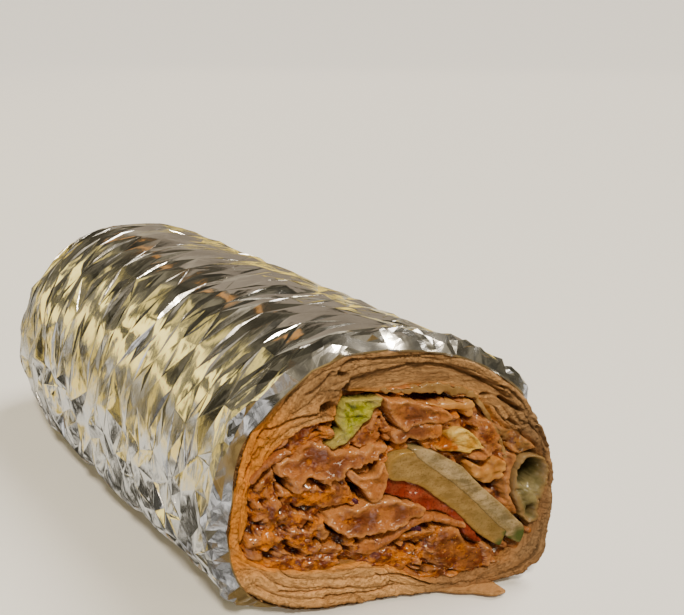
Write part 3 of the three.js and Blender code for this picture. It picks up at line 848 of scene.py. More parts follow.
# where the filling meets the bread on the cut face, as x and z
roomMiddle = (1.0, 27.0)
roomOutline = [
    (-28.3, 17), (-27.2, 22), (-27, 27), (-26.2, 30.5), (-24.3, 34), (-21.8, 37.6), (-18.8, 40.6),
    (-15.6, 42.4), (-12.8, 42.8), (-10.9, 43.2), (-10.2, 45.2), (-9.6, 47.4), (-8, 48.4), (-3, 48.0),
    (3, 47.9), (8, 47.6), (12, 46.2), (14.6, 44.6), (17.0, 41.6), (19.8, 38.0), (23.0, 36.0), (25.8, 33.2),
    (28.0, 30.6), (29.0, 27), (29.0, 21), (28.2, 15), (26.4, 10), (23, 6.2), (18.5, 4.2), (13, 3.3),
    (8, 3.5), (4, 4.9), (1, 6.9), (-2, 8.8), (-6, 9.6), (-12, 9.8), (-18, 10.3), (-23, 11.9), (-26.6, 14),
]


def radiusAt(outline, degrees):
    off = np.asarray(outline) - roomMiddle
    turn = np.degrees(np.arctan2(off[:, 1], off[:, 0])) % 360
    order = np.argsort(turn)
    return np.interp(degrees, turn[order], np.hypot(*off.T)[order], period=360)


def curve(p0, p1, p2, p3, f):
    v0, v1 = (p2 - p0) / 2, (p3 - p1) / 2
    return (2 * p1 - 2 * p2 + v0 + v1) * f ** 3 + (3 * p2 - 3 * p1 - 2 * v0 - v1) * f ** 2 + v0 * f + p1


def smoothLoop(corners, count):
    p = np.asarray(corners, float)
    t = np.linspace(0, len(p), count, endpoint=False)
    i = t.astype(int)
    return curve(*(p[(i + k) % len(p)] for k in (-1, 0, 1, 2)), (t - i)[:, None])


roomLine = smoothLoop(roomOutline, 600)


def smoothLine(corners, count):
    p = np.asarray(corners, float)
    t = np.linspace(0, len(p) - 1, count)
    i = np.minimum(t.astype(int), len(p) - 2)
    return curve(p[np.maximum(i - 1, 0)], p[i], p[i + 1], p[np.minimum(i + 2, len(p) - 1)], (t - i)[:, None])


# distance of each spot to a closed line, and whether it lies within
def edgeGap(spots, line):
    gaps, within = np.zeros(len(spots)), np.zeros(len(spots), bool)
    ends = np.roll(line, -1, 0)
    rise = np.where(np.abs(ends[:, 1] - line[:, 1]) < 1e-9, 1e-9, ends[:, 1] - line[:, 1])
    for start in range(0, len(spots), 4000):
        x, z = spots[start:start + 4000, :1], spots[start:start + 4000, 1:]
        gaps[start:start + 4000] = gapTo(spots[start:start + 4000], line)
        crossed = (line[None, :, 1] > z) != (ends[None, :, 1] > z)
        crossed &= x < line[:, 0] + (z - line[:, 1]) / rise * (ends[:, 0] - line[:, 0])
        within[start:start + 4000] = crossed.sum(1) % 2 == 1
    return gaps, within


# a solid that follows a line across the section and runs back into the roll: for each spot of the line
# a loop goes forward along one face, over the cut edge and back along the other
def sheetSolid(spots, half, front, depths, edgeSteps, edgeRound, lean=(0, 0), shake=None):
    along = np.gradient(spots, axis=0)
    along /= np.linalg.norm(along, axis=1, keepdims=True)
    normal = np.stack([-along[:, 1], along[:, 0]], -1)
    across = np.linspace(-1, 1, edgeSteps)
    side = np.concatenate([np.full(len(depths), -1.0), across, np.full(len(depths), 1.0)])
    edge = edgeRound * np.abs(across) ** 3
    depth = np.concatenate([(np.asarray(depths) + edgeRound)[::-1], edge, np.asarray(depths) + edgeRound])
    count, loop = len(spots), len(side)
    flat = spots[:, None, :] + normal[:, None, :] * (half[:, None] * side[None, :])[..., None]
    y = cutAt(flat[..., 0]) + front[:, None] + depth[None, :]
    share = np.clip(depth / 6.0, 0, 1)
    share = share * (2 - share)
    points = np.stack([flat[..., 0] + lean[0] * share, y, flat[..., 1] + lean[1] * share], -1)
    if shake is not None:
        points = shake(points, normal, side, depth)
    faces = gridFaces(count, loop, True)
    for start, turn in ((0, 1), ((count - 1) * loop, -1)):
        for j in range(loop // 2):
            k = loop - 1 - j
            if j + 1 < k - 1:
                faces.append([start + j, start + j + 1, start + k - 1, start + k][::turn])
            elif j + 1 == k - 1:
                faces.append([start + j, start + j + 1, start + k][::turn])
    marks = {"cut": 1 - smoothStep(depth, edgeRound, edgeRound + 0.8),
             "skin": smoothStep(np.abs(side), 0.5, 1.0)}
    marks = {name: np.broadcast_to(values, (count, loop)).ravel() for name, values in marks.items()}
    return points.reshape(-1, 3), faces, marks


# spots along every layer of bread, how far back each stands, and a number that tells the layers apart
def layerSamples():
    spots, fronts, labels = [breadSpots], [], [np.arange(len(breadSpots))]
    line = inLine(lengthAlong(breadSpots))
    front = 0.55 * softNoise(line / 11, 32) + 0.3 * softNoise(line / 2.4, 33)
    fronts.append(front + 0.25 * zigzag(breadRun / 2 + 0.2))
    count = bread["foldSamples"]
    for number, fold in enumerate(bread["folds"]):
        spots.append(smoothLine(fold, count))
        line = np.stack([np.linspace(0, 6, count), np.full(count, 7.0 * number)], -1)
        fronts.append(0.3 + 0.5 * softNoise(line, 34))
        labels.append(5000 * (number + 1) + np.arange(count))
    return np.concatenate(spots), np.concatenate(fronts), np.concatenate(labels)


# for each place the number of the nearest sample, the distance to it and to the nearest other layer
def nearestLayer(places, spots, labels):
    nearest = np.zeros(len(places), int)
    toNear, toOther = np.zeros(len(places)), np.zeros(len(places))
    for start in range(0, len(places), 3000):
        part = slice(start, start + 3000)
        gaps = np.linalg.norm(places[part, None, :] - spots[None, :, :], axis=2)
        nearest[part] = gaps.argmin(1)
        toNear[part] = gaps.min(1)
        other = np.abs(labels[None, :] - labels[nearest[part]][:, None]) > bread["apart"]
        toOther[part] = np.where(other, gaps, 99).min(1)
    return nearest, toNear, toOther


# the cut face takes its relief from the nearest layer, with seams where two layers meet
def makeBread(finish):
    columns, rings = bread["columns"], bread["rings"]
    degrees = 360 * np.arange(columns) / columns
    outerX, outerZ = sectionPoint(np.linspace(0, 360, 1441)[:-1], 0.0)
    outer = radiusAt(np.stack([outerX, outerZ], -1), degrees)
    away = np.stack([np.cos(np.radians(degrees)), np.sin(np.radians(degrees))], -1)
    inner = radiusAt(roomLine, degrees) + 0.35 * softNoise(away * 9, 38)
    share = np.linspace(0, 1, rings)
    radius = mixed(inner[None, :], outer[None, :], share[:, None])
    flat = (np.array(roomMiddle) + radius[..., None] * away[None, :, :]).reshape(-1, 2)
    looked = flat + 0.45 * noisePair(flat / 5, 35, 36)
    looked = looked + 0.07 * noisePair(flat / 1.2, 37, 38)
    spots, fronts, labels = layerSamples()
    nearest, toNear, toOther = nearestLayer(looked, spots, labels)
    seam = 1 - smoothStep(toOther - toNear, 0.0, 0.28)
    faceX, faceZ = flat[:, 0], flat[:, 1]
    opened = 0.25 + 0.75 * smoothStep(softNoise(flat / 4, 44), -0.4, 0.5)
    opened = opened * mixed(1, 0.55, smoothStep(faceZ, 46, 50))
    spots3 = np.stack([faceX, cutAt(faceX), faceZ], -1)
    back = fronts[nearest] + 0.3 * np.minimum(toNear, 1.2) ** 2 + bread["seamDepth"] * seam * opened
    back = back + 0.2 * softNoise(spots3 * 1.5, 41) + 0.14 * softNoise(spots3 * 3.7, 42)
    rim = np.repeat(share, columns)
    toRoom = rim * np.tile(outer - inner, rings)
    back = back + smoothStep(-toRoom, -0.9, 0.0) + 0.35 * smoothStep(rim, 0.95, 1.0)
    over = np.interp(faceX, *zip(*bread["broadTop"]), left=0, right=0)  # below the top of the broad layer
    over = over + 0.3 * softNoise(flat / 2.5, 39) - faceZ
    broad = smoothStep(over, 0.1, 0.6) * (faceZ > 43)
    lensBack = 0.9 + 0.22 * np.clip(over, 0, 5) + 0.3 * softNoise(flat / 3.0, 40)
    lensBack = lensBack + 0.2 * softNoise(flat * (0.3, 1.6), 41)
    back = mixed(back, lensBack, broad) + 1.5 * np.exp(-((over - 0.25) / 0.35) ** 2) * (faceZ > 43)
    seam = seam * (1 - broad)
    # painted shade inside the slits and holes, kept in the deep mark
    hole = 0 * back
    for deep, slit in bread["slits"]:
        gaps = gapTo(looked, smoothLine(slit, 40))
        back = back + deep * (1 - smoothStep(gaps, 0.1, 0.5))
        hole = np.maximum(hole, 0.2 * deep * (1 - smoothStep(gaps, 0.1, 0.4)))
    for x, z, wide, high, deep in bread["holes"]:
        pit = pitAt(flat, x, z, wide, high)
        back, hole = back + deep * pit, np.maximum(hole, min(1, deep / 4) * pit)
    spots3[:, 1] += back

    def wallLoop(edge, y, behind):
        x, z = closedEnd(edge[:, 0], edge[:, 2], np.full(columns, y))
        slanted = y < bread["straightFrom"]
        across = mixed(edge[:, 1] + behind, y, y / bread["straightFrom"]) if slanted else np.full(columns, y)
        return np.stack([x, across, z], -1)

    rows = np.array(bread["wallRows"])
    outerWall = [wallLoop(spots3[-columns:], y, 0) for y in rows]
    innerWall = [wallLoop(spots3[:columns], y, 2) for y in rows[::-1]]
    points = np.concatenate([spots3, *outerWall, *innerWall])
    count = len(points) // columns
    faces = gridFaces(count, columns, True)
    last = (count - 1) * columns
    for i in range(columns):
        k = (i + 1) % columns
        faces.append([last + i, last + k, k, i])

    def pad(values, rest):
        return np.concatenate([values, np.full(len(points) - len(values), rest)])

    path = inLine(labels[nearest] / 60.0)
    weave = np.stack([mixed(labels[nearest] * 0.6, faceX, broad) * 0.09, mixed(toNear, over, broad),
                      spots3[:, 1] * 0.5], -1) * 0.001
    weave = np.concatenate([weave, points[len(flat):] * 0.001 * 0.6])
    stain = smoothStep(-toRoom, -1.6, -0.2) * 0.8
    stain = stain + smoothStep(-faceX, 16, 25) * smoothStep(faceZ, 9, 15) * 0.9
    stain = np.clip(stain + 0.8 * smoothStep(faceX, 3, 12) * (1 - smoothStep(faceZ, 3, 8)), 0, 1)
    skin = np.maximum(seam * opened, smoothStep(toNear, 0.5, 1.0) * 0.6)
    skin = mixed(skin, 0.9 * np.exp(-((over - 0.9) / 0.7) ** 2), broad)
    lowRight = smoothStep(faceX, 25, 29) * (1 - smoothStep(faceZ, 24, 32))
    char = smoothStep(rim, 0.86, 0.98) * np.maximum(1 - smoothStep(faceZ, 5, 10), lowRight)
    # painted shade: the right side, the top and the low right of the cut face turn darker and greyer
    dim = np.maximum(smoothStep(faceX, 12, 27), 0.7 * smoothStep(faceZ, 43, 51))
    dim = np.maximum(dim, smoothStep(faceX, 0, 10) * (1 - smoothStep(faceZ, 4, 8)))
    # a tint that differs from layer to layer, and paler lowest layers, painted light from below
    tone = mixed(0.5 + 0.5 * softNoise(path, 45), 0.5, broad) + 0.5 * (1 - smoothStep(faceZ, 6, 11))
    marks = {"cut": pad(np.ones(len(flat)), 0.0), "skin": pad(skin, 0.7), "char": pad(char, 0.4),
             "deep": pad(np.minimum(hole, 1), 0.0), "weave": weave, "stain": pad(stain, 0.0),
             "dim": pad(dim, 0.0), "tone": pad(tone, 0.5)}
    return newPiece("flatbreadRoll", points, faces, finish, marks)


flap = {
    "line": [(5, 0.45), (9.5, 0.4), (14.5, 0.35), (20.0, 0.4)],
    "steps": 60,
    "half": 0.42,  # of its thickness
    "reach": [(0, -0.6), (0.35, 0.6), (0.62, 2.2), (0.82, 4.6), (1, 3.4)],  # before the cut, along the line
    "depths": [0.3, 0.8, 1.6, 3, 5, 8, 12],
}


def makeFlap(finish):
    count = flap["steps"]
    spots = smoothLine(flap["line"], count)
    t = np.linspace(0, 1, count)
    line = inLine(t * 16)
    half = flap["half"] * np.sqrt(np.clip(4 * t * (1 - t), 0.04, 1)) * (1 + 0.15 * softNoise(line, 46))
    front = 0.4 * softNoise(line / 1.5, 47) - np.interp(t, *zip(*flap["reach"]))
    points, faces, marks = sheetSolid(spots, half, front, flap["depths"], 7, 0.3)
    marks["stain"] = np.full(len(points), 0.1)
    marks["skin"] = marks["skin"] * 0.6
    marks["tone"] = np.full(len(points), 0.6)
    # painted shade over the whole flap
    marks["dim"] = np.full(len(points), 0.5)
    marks["weave"] = points * (0.0003, 0.001, 0.001)
    return newPiece("flatbreadFlap", points, faces, finish, marks)


# slices, leaves and shreds: a line across the section, thickness, and how far each stands back

ribbons = {
    "meat_slice_arched": {
        "kind": "slice", "thick": 1.5, "front": -0.3, "length": 30, "rag": 0.3, "lean": (0, 1.2),
        "tone": -0.3,
        "line": [(-6.4, 12.6), (-2.6, 14.1), (0.6, 16.3), (4.6, 18.5), (8.2, 18.0), (13.4, 15.6)],
    },
    "meat_slice_left": {
        "kind": "slice", "thick": 1.1, "front": -0.2, "length": 30, "rag": 0.3, "tone": -0.3,
        "line": [(-26.6, 31.8), (-25, 34.2), (-22.4, 36.4), (-19.4, 37.6)],
    },
    "red_cabbage_shred": {
        "kind": "redCabbage", "thick": 1.7, "taper": 0.5, "front": 0.3, "length": 12, "rag": 0.1,
        "line": [(2.5, 17.0), (3.8, 16.6), (5.0, 15.8)],
    },
    "red_cabbage_end": {
        "kind": "redCabbage", "thick": 1.2, "taper": 0.5, "front": 0.8, "length": 12, "rag": 0.1,
        "line": [(-8.4, 25.4), (-7.6, 24.6), (-6.8, 23.8)],
    },
    "lettuce_shred": {
        "kind": "dullLeaf", "thick": 0.9, "front": 0.5, "length": 34, "rag": 0.3, "wave": 0.1,
        "lean": (1.2, 0.8), "line": [(14.6, 44.4), (17.4, 39.6), (20.0, 34.2), (21.5, 28.4)],
    },
}


ribbonGrid = {"steps": 24, "edgeSteps": 9, "depths": [0.25, 0.7, 1.3, 2.2, 3.5, 5.5, 8.5]}


def makeRibbon(name, spec, finish, seed):
    count = ribbonGrid["steps"] * (len(spec["line"]) - 1)
    spots = smoothLine(spec["line"], count)
    t = np.linspace(0, 1, count)
    length = lengthAlong(spots)
    line = inLine(length)
    half = spec["thick"] / 2 * (1 - spec.get("taper", 0) * (2 * t - 1) ** 2)
    toEnd = np.minimum(length, length[-1] - length)
    half = half * np.sqrt(np.clip(1 - (1 - np.clip(toEnd / (spec["thick"] * 0.5), 0, 1)) ** 2, 0.02, 1))
    half = half * (1 + spec["rag"] * 0.35 * softNoise(line / 1.4, seed))
    ragged = softNoise(line / 2.2, seed + 1) + 0.6 * softNoise(line / 0.8, seed + 2)
    front = spec["front"] + spec["rag"] * ragged
    depths = ribbonGrid["depths"]
    depths = np.concatenate([depths, np.linspace(depths[-1], spec["length"], 5)[1:]])
    depths = depths * min(1, spec["length"] / 9)
    wave = spec.get("wave", 0.0)

    def shake(points, normal, side, depth):
        flat = points.reshape(-1, 3)
        ripple = wave * np.sin(9 * np.repeat(t, len(side)) + 0.35 * np.tile(depth, count))
        ripple = ripple + 0.16 * layeredNoise(flat / 1.6, seed + 3)
        across = np.repeat(normal, len(side), 0) * ripple[:, None]
        flat = flat + np.stack([across[:, 0], 0.12 * softNoise(flat * 1.9, seed + 4), across[:, 1]], -1)
        return flat.reshape(points.shape)

    edgeRound = min(0.5, spec["thick"] * 0.25)
    points, faces, marks = sheetSolid(spots, half, front, depths, ribbonGrid["edgeSteps"], edgeRound,
                                      lean=spec.get("lean", (0, 0)), shake=shake)
    loop = len(points) // count
    marks["edge"] = np.repeat(smoothStep(-toEnd, -0.9, -0.3) * (t > 0.5), loop)
    marks["tone"] = np.full(len(points), spec.get("tone", 0.2))
    marks["deep"] = np.zeros(len(points))
    return newPiece(name, points, faces, finish, marks)


# pieces that show their broad side: an outline on the cut face, x and z, and how its front stands
patches = {
    "meat_slice_curled": {
        "kind": "slice", "front": -1.0, "depth": 4, "tilt": (0.05, -0.1), "tone": -0.8, "hue": -0.5,
        "rag": 0.1, "bend": 0.5,
        "outline": [(-10, 32.6), (-8.7, 32.3), (-7.4, 30.9), (-5.4, 30.6), (-4.3, 32.2), (-3.2, 33.4),
                    (-2.3, 30.6), (-2.5, 28.3), (-3.7, 26), (-4.8, 25), (-5.8, 25.4), (-7, 27.7),
                    (-8.4, 29.5)],
    },
    "meat_slice_broad": {
        "kind": "slice", "front": -0.6, "depth": 12, "tilt": (0.02, -0.16), "tone": -0.18, "rag": 0.55,
        "outline": [(-12.8, 22.6), (-13, 20.4), (-11.3, 18.8), (-10, 17.6), (-7.7, 16.8), (-5.3, 17.2),
                    (-3.3, 18), (0, 18.8), (4.4, 20.4), (4.2, 22), (1.6, 23.6), (-2, 24.8), (-6, 24.2),
                    (-10, 23.6)],
    },
    "meat_slice_ragged": {
        "kind": "slice", "front": -0.5, "depth": 12, "tilt": (0.03, -0.16), "tone": -0.28, "rag": 0.6,
        "outline": [(-22.2, 35.8), (-19, 36.2), (-16.8, 38), (-14.3, 38.6), (-12, 37), (-10, 36.2),
                    (-6.8, 36.8), (-3.8, 37.4), (-2.8, 36.2), (-4.7, 34.2), (-6.8, 33.2), (-9.8, 32.4),
                    (-10.4, 31.2), (-12, 30.7), (-13.2, 29.4), (-14.3, 30.8), (-16, 31.8), (-17.4, 31.6),
                    (-18.3, 31.2), (-18.6, 29.6), (-19.4, 30), (-21.2, 33)],
    },
    "meat_slice_top": {
        "kind": "slice", "front": 0.0, "depth": 12, "tilt": (0.0, 0.05), "tone": -0.2, "rag": 0.3,
        "outline": [(-3.2, 47.4), (-1, 46.5), (2, 45.9), (5, 44.6), (8.3, 43.2), (9.6, 41.4), (8, 40.2),
                    (6, 40.7), (3, 40.6), (1.2, 39.4), (-0.4, 40.8), (-2, 44)],
    },
    "meat_slice_middle": {
        "kind": "slice", "front": 0.6, "depth": 12, "tilt": (0.0, -0.1), "tone": 0.3, "rag": 0.35,
        "outline": [(-0.8, 39.2), (1.6, 40.4), (4.4, 40.6), (7.6, 40), (8.2, 37.6), (5.2, 37.1), (2, 37.2),
                    (-0.4, 36.6)],
    },
    "onion_piece": {
        "kind": "onion", "front": -0.3, "depth": 7, "tilt": (-0.1, 0.1), "rag": 0.1, "crease": 0.15,
        "skinFrom": [(8.8, 35.6, 2.6), (10.4, 34.6, 1.2)],
        "grooves": [(0.9, 0.5, [(12.4, 37.6), (13.6, 36.4), (15.2, 34.2)]),
                    (0.6, 0.4, [(9.8, 36.0), (12.0, 34.6), (14.2, 33.6)])],
        "outline": [(9.4, 37.6), (10.4, 38.5), (12.4, 38.5), (13.9, 37.2), (15.2, 35.6), (16.2, 34.2),
                    (16.8, 33.4), (15.6, 33.3), (14.4, 33.2), (13.8, 32.6), (12.2, 33.2), (10.2, 33.8),
                    (8.2, 34.2), (7.2, 34.8), (8.8, 35.6), (9.4, 36.4)],
    },
    "tomato_slice": {
        "kind": "tomato", "front": 0.6, "depth": 12, "tilt": (0.0, -0.06), "rag": 0.15, "crease": 0.4,
        "outline": [(-2.8, 28.6), (0, 28.8), (3, 27.6), (6, 25.4), (9.2, 22.2), (11.4, 20), (13.7, 16.8),
                    (12.6, 16.4), (9.4, 19.4), (6.6, 20.2), (4.2, 20.8), (3.4, 23), (0.8, 24.2),
                    (-2, 25.8)],
    },
    "tomato_end": {
        "kind": "tomato", "front": 0.5, "depth": 9, "tilt": (0.0, 0.0), "rag": 0.2,
        "outline": [(13.0, 16.4), (14.2, 16), (16.2, 13.0), (17.2, 11.0), (15.8, 11.4), (13.8, 13.4)],
    },
    "lettuce_bright": {
        "kind": "brightLettuce", "front": -0.5, "depth": 3, "tilt": (0.12, 0.0), "rag": 0.15, "crease": 0.9,
        "skinFrom": [(-11.8, 37.4, 4.6), (-4.0, 47.2, 2.4), (-11.4, 43.4, 1.4), (-7.6, 41.2, 1.2)],
        "grooves": [(0.7, 0.5, [(-9.4, 46.6), (-8.2, 44.6), (-9.0, 42.0)]),
                    (0.6, 0.4, [(-8.2, 44.6), (-6.6, 45.6), (-5.4, 46.6)]),
                    (0.5, 0.4, [(-8.6, 43.4), (-7.2, 43.8)]), (0.5, 0.4, [(-9.0, 45.4), (-10.2, 44.6)])],
        "shades": [(-8.2, 45.8, 0.9, 0.5), (-7.6, 44.0, 0.5, 0.7), (-9.4, 44.2, 0.4, 0.8)],
        "outline": [(-9.6, 47.2), (-7, 47.2), (-3.7, 47.6), (-3.8, 46.2), (-5.3, 43.7), (-8, 40.4),
                    (-10.3, 37.8), (-11.7, 37.2), (-12.8, 38), (-11.4, 39.6), (-10.4, 41), (-11, 42.7),
                    (-10.4, 45)],
    },
    "lettuce_top": {
        "kind": "dullLeaf", "front": 1.2, "depth": 20, "tilt": (0.0, 0.0), "rag": 0.55, "crease": 0.3,
        "edge": 0.15,
        "outline": [(-2.8, 48.2), (1, 48.2), (4, 48.3), (8, 48.2), (12, 47.2), (15.2, 45.2), (16.4, 43.2),
                    (14.8, 44.2), (12.6, 45.2), (11, 45.1), (9.2, 46.2), (6, 46.6), (3, 46.9), (0, 47.3)],
    },
    "lettuce_under": {
        "kind": "paleLeaf", "front": 0.7, "depth": 16, "tilt": (0.0, 0.0), "rag": 0.2, "crease": 0.4,
        "outline": [(6, 44.4), (8, 44.2), (10.6, 44.3), (12.6, 43.5), (14.3, 44.2), (14.6, 41.6),
                    (13.6, 40.6), (12.4, 42.2), (9, 42.9)],
    },
    "lettuce_crinkled": {
        "kind": "paleLeaf", "front": 0.1, "depth": 14, "tilt": (0.0, 0.16), "rag": 0.3, "crease": 0.8,
        "outline": [(14.4, 30.2), (16.3, 28.9), (18, 28.8), (18.8, 30.7), (20.4, 30.1), (21.5, 28.3),
                    (20.7, 27), (21.1, 26), (19.7, 25.3), (18.8, 24.4), (17.2, 25.1), (15.6, 26.6),
                    (14.4, 28.6)],
    },
    "lettuce_pocket": {
        "kind": "greenLeaf", "front": 0.0, "depth": 6, "tilt": (0.02, 0.02), "rag": 0.2, "crease": 0.5,
        "hollows": [(26.4, 26.2, 2.1, 2.8, 9.0), (26.8, 16.6, 0.7, 1.5, 5.0)], "rimmed": 0.9,
        "grooves": [(0.8, 0.5, [(26.0, 23.0), (27.4, 21.4), (28.4, 19.4)]),
                    (0.8, 0.4, [(24.0, 22.6), (25.2, 20.0), (26.0, 18.4)])],
        "outline": [(24, 30), (26, 30.5), (28.2, 29.9), (29.6, 27.4), (29.8, 24.6), (29.0, 21), (28.6, 17),
                    (28.7, 14.8), (27.3, 13.9), (26, 15), (24.8, 16.8), (23.8, 19.5), (23.0, 22.6),
                    (23.2, 26.4)],
    },
    "cucumber_slice_lower": {
        "kind": "underCucumber", "front": -0.12, "depth": 9, "tilt": (0.0, 0.0), "rag": 0.08, "edge": 0.2,
        "uneven": 0.06, "skinFrom": [(20.9, 10.0, 2.4), (22.0, 12.6, 1.6)],
        "outline": [(0.6, 34.6), (-1.6, 33.2), (-2.1, 31.4), (-1.8, 29.6), (-0.8, 28.6), (1.7, 28), (5, 26),
                    (8, 23), (11.7, 19.2), (15, 14.8), (16.8, 12.8), (18.7, 11.1), (20.6, 9.7),
                    (21.3, 11.2), (22.0, 13.6), (21, 15.3), (18.6, 18.7), (15.4, 22.8), (12.4, 26.3),
                    (9, 29.8), (6, 32.5), (3.2, 34.6)],
    },
    "cucumber_slice_upper": {
        "kind": "cucumber", "front": -0.28, "depth": 9, "tilt": (0.0, 0.0), "rag": 0.1, "edge": 0.12,
        "uneven": 0.06, "skinFrom": [(24.9, 11.6, 3.0), (22.2, 11.2, 1.2)],
        "outline": [(2.6, 34.9), (4.4, 35.2), (7, 34), (9.7, 32), (12.4, 29.7), (15, 26.2), (17.7, 23),
                    (20.4, 20), (23.3, 16.4), (25, 14.2), (25.4, 12.0), (24.7, 10.0), (23.0, 10.8),
                    (21.9, 11.8), (21.8, 13.0), (20.1, 14.7), (17.5, 18.1), (14.3, 22.1), (11.3, 25.6),
                    (7.9, 29.0), (5.0, 31.7)],
    },
}


sliceFronts = []  # places on the slices and how far back they are, for what is strewn there
patchGrid = {"edgeStep": 0.28, "innerStep": 0.36, "shift": 0.1, "clear": 0.5, "rings": (0.12, 0.32)}
patchRelief = {"slice": {"size": 3.2, "height": 0.8}, "leaf": {"size": 2.0, "height": 0.22}}


# places on the front of a patch, those on its ragged edge first, and the faces between them
def patchPlaces(spec, seed):
    random = np.random.default_rng(seed)
    soft = spec["kind"] == "slice"
    line = smoothLoop(spec["outline"], 600)
    length = lengthAlong(line)
    count = int(length[-1] / patchGrid["edgeStep"])
    at = np.linspace(0, length[-1], count, endpoint=False)
    line = np.stack([np.interp(at, length, line[:, k]) for k in (0, 1)], -1)
    middle = line.mean(0)
    along = np.roll(line, -1, 0) - np.roll(line, 1, 0)
    out = np.stack([along[:, 1], -along[:, 0]], -1)
    out = out / np.maximum(np.linalg.norm(along, axis=1, keepdims=True), 1e-9)
    out = out * np.sign((out * (line - middle)).sum())
    ragged = softNoise(line / 0.9, seed) + 0.6 * softNoise(line / 0.45, seed + 1)
    ragged = ragged + 0.9 * soft * softNoise(line / 2.0, seed + 8)
    line = line + out * (spec["rag"] * ragged * 0.8)[:, None]
    low, high = line.min(0), line.max(0)
    step, shift = patchGrid["innerStep"], patchGrid["shift"]
    x, z = np.meshgrid(np.arange(low[0], high[0], step), np.arange(low[1], high[1], step), indexing="ij")
    inner = np.stack([x.ravel(), z.ravel()], -1) + random.uniform(-shift, shift, (x.size, 2))
    gaps, within = edgeGap(inner, line)
    inner = inner[within & (gaps > patchGrid["clear"])]
    for step in patchGrid["rings"]:
        ring = line - out * step
        gaps, within = edgeGap(ring, line)
        inner = np.concatenate([ring[within & (gaps > step * 0.8)], inner])
    flat = np.concatenate([line, inner])
    made = delaunay_2d_cdt([Vector(spot) for spot in flat], [], [list(range(count))], 1, 1e-7)
    back = [own[0] if own else 0 for own in made[3]]
    faces = [[back[i] for i in face] for face in made[2]]
    toRim = edgeGap(flat, line)[0]
    toRim[:count] = 0
    return flat, faces, toRim, count, middle


# where along the roll each place stands, the swelling in that, and the painted shade of its deeper hollows
# and listed shade spots
def patchRise(spec, flat, toRim, middle, seed):
    soft = spec["kind"] == "slice"
    rounded = spec.get("edge", 0.3)
    y = cutAt(flat[:, 0]) + spec["front"] - (flat - middle) @ np.array(spec["tilt"])
    y = y + rounded * (1 - smoothStep(toRim, 0, rounded)) ** 2
    relief = patchRelief["slice" if soft else "leaf"]
    swell = layeredNoise(flat / relief["size"], seed + 2)
    y = y + spec.get("uneven", relief["height"]) * swell
    y = y + 0.08 * softNoise(flat * 1.3, seed + 3) * ("uneven" not in spec)
    y = y + 0.3 * softNoise(flat / 1.1, seed + 6) * soft
    y = y + spec.get("crease", 0.0) * np.abs(softNoise(flat / 1.5, seed + 4))
    y = y + spec.get("bend", 0.0) * ((flat[:, 0] - middle[0]) / 3) ** 2
    y = y - 0.35 * soft * (1 - smoothStep(toRim, 0.2, 1.6))  # the edges of a slice curl forward
    for deep, wide, groove in spec.get("grooves", []):
        y = y + deep * (1 - smoothStep(gapTo(flat, smoothLine(groove, 40)), 0, wide))
    hollowShade = 0 * y
    for x, z, wide, high, deep in spec.get("hollows", []):
        hole = pitAt(flat, x, z, wide, high)
        y, hollowShade = y + deep * hole, np.maximum(hollowShade, smoothStep(deep * hole, 1.2, 3.6))
    # painted shade spots
    for x, z, wide, high in spec.get("shades", []):
        hollowShade = np.maximum(hollowShade, pitAt(flat, x, z, wide, high, 1))
    return y, swell, hollowShade


def makePatch(name, spec, finish, seed):
    soft = spec["kind"] == "slice"
    flat, faces, toRim, count, middle = patchPlaces(spec, seed)
    y, swell, hollowShade = patchRise(spec, flat, toRim, middle, seed)
    front = np.stack([flat[:, 0], y, flat[:, 1]], -1)
    rear = front + (0, spec["depth"], 0)
    points = np.concatenate([front, rear])
    n = len(flat)
    faces = faces + [[i + n for i in face[::-1]] for face in faces]
    first = next(face for face in faces if 0 in face and 1 in face)
    forward = (first.index(1) - first.index(0)) % 3 == 1
    for i in range(count):
        k = (i + 1) % count
        faces.append([k, i, n + i, n + k] if forward else [i, k, n + k, n + i])

    def pad(values, rest):
        return np.concatenate([values, np.full(n, rest)])

    tone = spec.get("tone", 0.2)
    blotches = 0.35 * softNoise(flat / 2.4, seed + 5) + 0.8 * swell + 0.25 * smoothStep(toRim, 0.8, 2.8)
    marks = {"cut": pad(1 - smoothStep(toRim, 0.2, 1.2), 1.0), "deep": pad(hollowShade, 0.6),
             "tone": pad(tone + blotches * soft, tone),
             "hue": pad(spec.get("hue", 0.45) + 0.6 * softNoise(flat / 3.0, seed + 7), 0.6)}
    if "skinFrom" in spec:
        near = [1 - smoothStep(np.hypot(flat[:, 0] - x, flat[:, 1] - z), 0.3 * reach, reach)
                for x, z, reach in spec["skinFrom"]]
        marks["edge"] = pad(np.max(near, 0), 1.0)
    elif "rimmed" in spec:
        marks["edge"] = pad(1 - smoothStep(toRim, 0.3, 1.6 * spec["rimmed"]), 1.0)
    elif soft:
        marks["edge"] = pad(1 - smoothStep(toRim, 0.1, 1.2), 0.0)
        sliceFronts.append((flat[toRim > 0.6], (y - cutAt(flat[:, 0]))[toRim > 0.6]))
    return newPiece(name, points, faces, finish, marks)


# meat: shreds and flakes lying over each other behind the cut, as one closed heap

